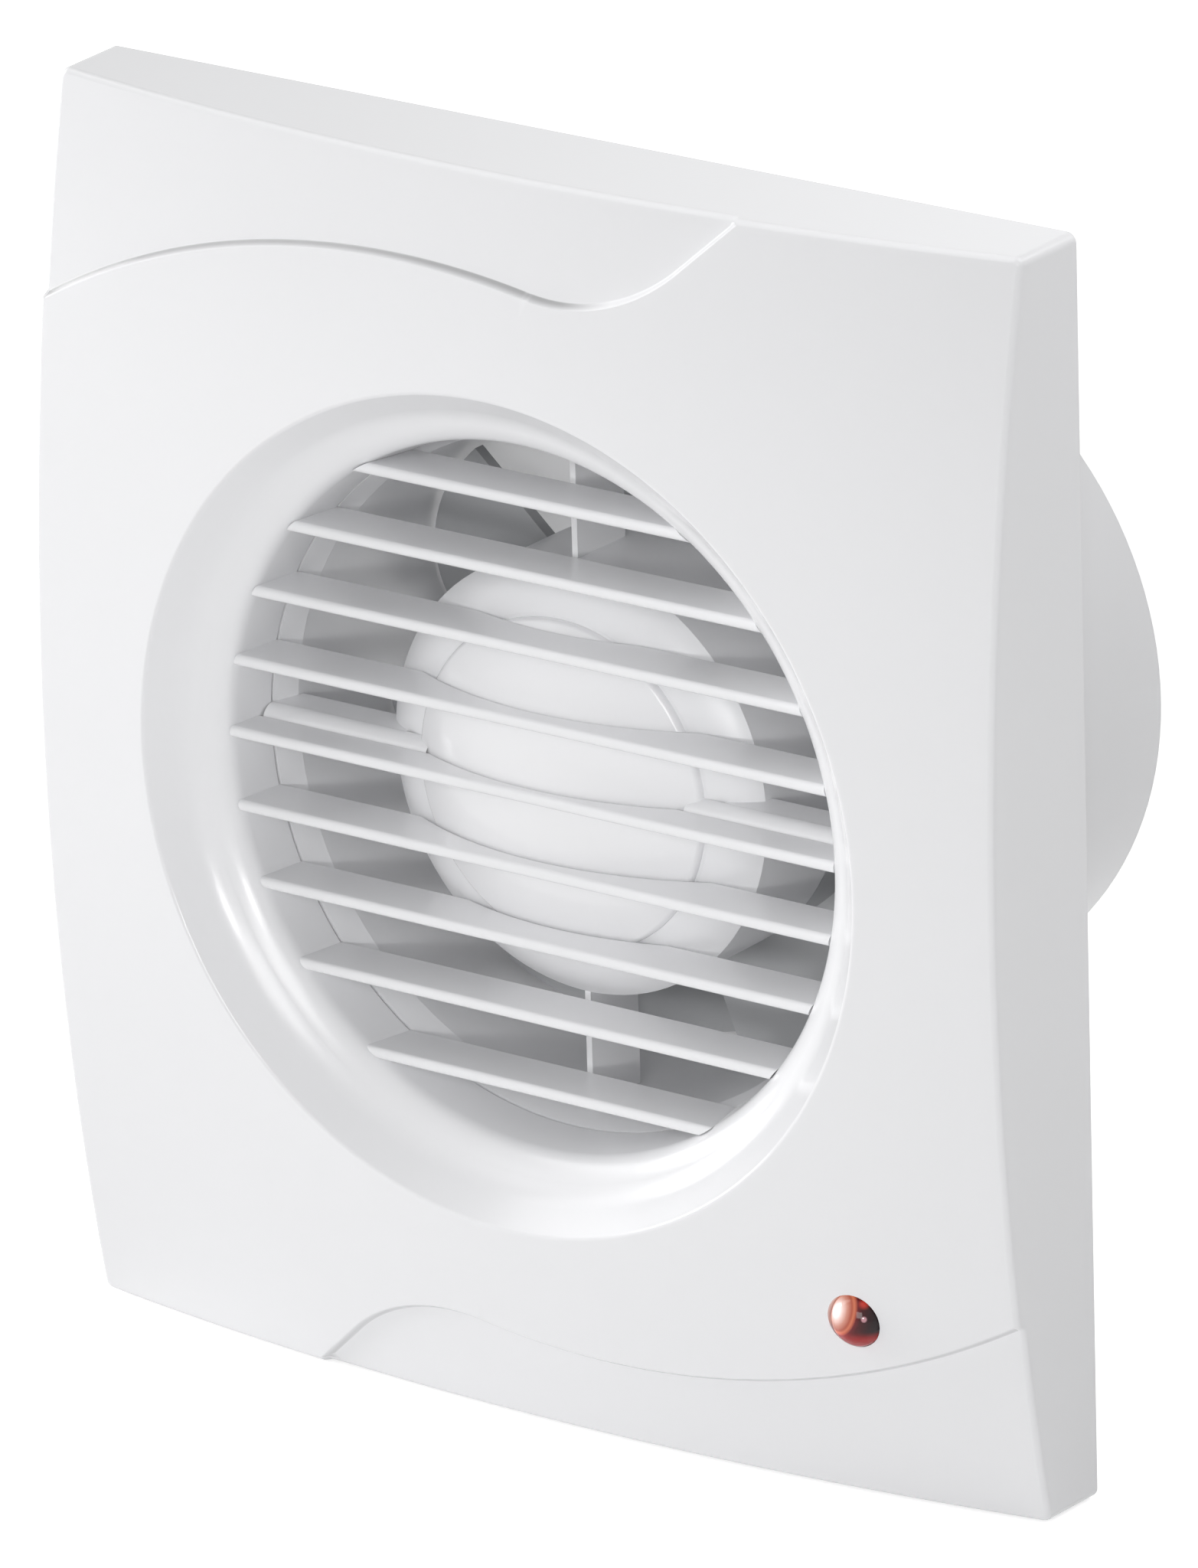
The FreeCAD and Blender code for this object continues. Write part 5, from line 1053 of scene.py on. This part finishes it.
# A red patch of painted glow.
PAINTED_RED_PATCH = (55.85, -20.62, -57.75)
PAINTED_RED_FADE = (0.15, 0.95)
PAINTED_RED_GLOW = (0.42, 0.03, 0.018)
# A small pinkish painted reflection.
PAINTED_REFLECTION_SPOT = (56.42, -21.45, -59.52)
PAINTED_REFLECTION_FADE = (0.25, 0.48)
PAINTED_REFLECTION_COLOUR = (0.45, 0.24, 0.27)
# Painted light: the lower side of the lens is a stronger red.
PAINTED_LIGHT_LOW_SIDE = (-0.0627, -0.0612)
PAINTED_LIGHT_RED = (0.36, 0.010, 0.010)
# Painted shade: the far side of the lens is dark.
PAINTED_SHADE_FAR_SIDE = (0.0576, 0.0550)
PAINTED_SHADE_DARK = (0.018, 0.008, 0.010)

tree = materials["lens_red"].node_tree
shader = tree.nodes["Principled BSDF"]
place = tree.nodes.new("ShaderNodeTexCoord").outputs["Object"]
ramp = tree.nodes.new("ShaderNodeValToRGB")
stops = ramp.color_ramp.elements
while len(stops) < len(PAINTED_HALO):
    stops.new(0.5)
for stop, (reach, colour) in zip(stops, PAINTED_HALO):
    stop.position = reach / PAINTED_HALO_REACH
    stop.color = (*colour, 1.0)
# The painted highlight, glow and reflection go to the emission.
to_painted_highlight = distance_from(tree, place, PAINTED_HIGHLIGHT_POINT)
tree.links.new(calculate(tree, "DIVIDE", to_painted_highlight, PAINTED_HALO_REACH), ramp.inputs["Fac"])
painted_red_patch = fade(tree, distance_from(tree, place, PAINTED_RED_PATCH), *PAINTED_RED_FADE)
painted_reflection = fade(tree, distance_from(tree, place, PAINTED_REFLECTION_SPOT), *PAINTED_REFLECTION_FADE)
glow = mixed(tree, painted_red_patch, ramp.outputs["Color"], PAINTED_RED_GLOW)
glow = mixed(tree, painted_reflection, glow, PAINTED_REFLECTION_COLOUR)
tree.links.new(glow, shader.inputs["Emission Color"])
parts = tree.nodes.new("ShaderNodeSeparateXYZ")
tree.links.new(place, parts.inputs["Vector"])
painted_low_light = fade(tree, parts.outputs["Z"], *PAINTED_LIGHT_LOW_SIDE)
painted_far_shade = fade(tree, parts.outputs["X"], *PAINTED_SHADE_FAR_SIDE)
# The base colour gets painted shade on the far side and painted light low down.
skin = shader.inputs["Base Color"].links[0].from_socket
skin = mixed(tree, painted_far_shade, skin, PAINTED_SHADE_DARK)
tree.links.new(mixed(tree, painted_low_light, skin, PAINTED_LIGHT_RED), shader.inputs["Base Color"])
print("stops of the halo:", len(stops))

# %% [markdown]
# ## Give every piece its finish
# The frame tells for each CAD piece which slot it belongs to. The CAD pieces come in as facets, so
# their curved faces are made smooth, while edges that turn by more than 30 degrees stay sharp.

# %% Dress the pieces
SHARP_TURN = math.radians(30.0)
replaced = ("front_cover", "indicator_lens", "motor_cap")
slot_of = {row["node"]: row["material_slot"] for row in frame["record"]["subparts"]}
for node, item in frame["nodes"].items():
    if node in replaced:
        continue
    item.data.materials.clear()
    item.data.materials.append(materials[slot_of[node]])
    item.data.shade_smooth()
    item.data.set_sharp_from_angle(angle=SHARP_TURN)
front_cover.data.materials.append(materials["cover_white"])
motor_cap.data.materials.append(materials["cap_white"])
red_lens.data.materials.append(materials["lens_red"])
print("dressed nodes:", len(frame["nodes"]) - len(replaced))

# %% [markdown]
# ## Floor, background and light
# The photograph is a studio shot on pure white. The floor and the world look white to the camera and in
# mirrors, but light the fan only at a plain level, which fills the shadows.
#
# Four soft lamps stand far from the fan: the strong key lamp at the left, a side lamp above it, a weaker
# one at the left corner in front, and one in front at the right. A small lamp close above gives the top
# wall its soft fall of light. The last lamp has a tube in front of it, a snoot, so that it lights only
# the bore: behind the slats the real fan is brighter than the lamps outside can make it.

# %% World
FILL = 0.20

world = bpy.data.worlds.new("studio")
bpy.context.scene.world = world
world.use_nodes = True
tree = world.node_tree
sky = tree.nodes["Background"]
sky.inputs["Color"].default_value = (1.0, 1.0, 1.0, 1.0)
path = tree.nodes.new("ShaderNodeLightPath")


def seen_directly(tree, path):
    """One for rays from the camera, from mirrors and through glass, zero for light on things."""
    glossy = calculate(tree, "MAXIMUM", path.outputs["Is Camera Ray"], path.outputs["Is Glossy Ray"])
    return calculate(tree, "MAXIMUM", glossy, path.outputs["Is Transmission Ray"])


strength = calculate(tree, "MULTIPLY_ADD", seen_directly(tree, path), 1.0 - FILL, FILL)
tree.links.new(strength, sky.inputs["Strength"])
print("fill light:", FILL)

# %% Floor
FLOOR_REACH = 6.0
FLOOR_GAP = 0.0002
FLOOR_LEVEL = -HALF_HEIGHT * MM - FLOOR_GAP
FLOOR_GLOW = 0.60
PAPER_GREY = 0.9

floor_mesh = bpy.data.meshes.new("studio_floor")
corners = [(x * FLOOR_REACH, y * FLOOR_REACH, FLOOR_LEVEL) for x, y in ((-1, -1), (1, -1), (1, 1), (-1, 1))]
floor_mesh.from_pydata(corners, [], [(0, 1, 2, 3)])
floor = bpy.data.objects.new("studio_floor", floor_mesh)
bpy.context.scene.collection.objects.link(floor)
paper = bpy.data.materials.new("studio_paper")
paper.use_nodes = True
tree = paper.node_tree
matte = tree.nodes["Principled BSDF"]
matte.inputs["Base Color"].default_value = (PAPER_GREY, PAPER_GREY, PAPER_GREY, 1.0)
matte.inputs["Roughness"].default_value = 0.9
matte.inputs["Emission Color"].default_value = (1.0, 1.0, 1.0, 1.0)
path = tree.nodes.new("ShaderNodeLightPath")
glow = calculate(tree, "MULTIPLY", seen_directly(tree, path), FLOOR_GLOW)
tree.links.new(glow, matte.inputs["Emission Strength"])
floor_mesh.materials.append(paper)
print("floor:", FLOOR_REACH * 2, "m wide")

# %% Lamps
MIDDLE = (0.0, 0.0, 0.0)
TOP_WALL = (0.05, 0.0, 0.087)
BORE = (0.0, -0.018, 0.0)
BORE_REACH = 0.057
SOFT_EDGE = 0.15


def hang_lamp(name, kind, place, target, power):
    """A lamp that looks at a point."""
    lamp_data = bpy.data.lights.new(name, kind)
    lamp_data.energy = power
    lamp = bpy.data.objects.new(name, lamp_data)
    lamp.location = place
    lamp.rotation_euler = (Vector(target) - Vector(place)).to_track_quat("-Z", "Y").to_euler()
    bpy.context.scene.collection.objects.link(lamp)
    return lamp_data


def soft_lamp(name, place, target, size, power):
    """A square lamp with an area."""
    hang_lamp(name, "AREA", place, target, power).size = size


def snoot_lamp(name, place, target, reach, size, power):
    """A round lamp with a tube in front: only a disc of some reach round the target gets light."""
    lamp_data = hang_lamp(name, "SPOT", place, target, power)
    distance = (Vector(place) - Vector(target)).length
    lamp_data.spot_size = math.atan(reach / distance) * 2
    lamp_data.spot_blend = SOFT_EDGE
    lamp_data.shadow_soft_size = size


soft_lamp("key_lamp", (-1.9135, -0.4067, 0.4158), MIDDLE, 0.7, 16.5)
soft_lamp("side_lamp", (-1.4986, -0.3185, 1.2856), MIDDLE, 1.0, 7.8)
soft_lamp("corner_lamp", (-1.3885, -1.1651, 0.8452), MIDDLE, 1.0, 3.2)
soft_lamp("front_lamp", (0.6428, -1.7660, 0.6840), MIDDLE, 0.8, 11.3)
soft_lamp("top_lamp", (0.2, 0.1, 0.34), TOP_WALL, 0.3, 0.68)
snoot_lamp("bore_lamp", (0.8977, -1.3, 0.3327), BORE, BORE_REACH, 0.10, 46.0)
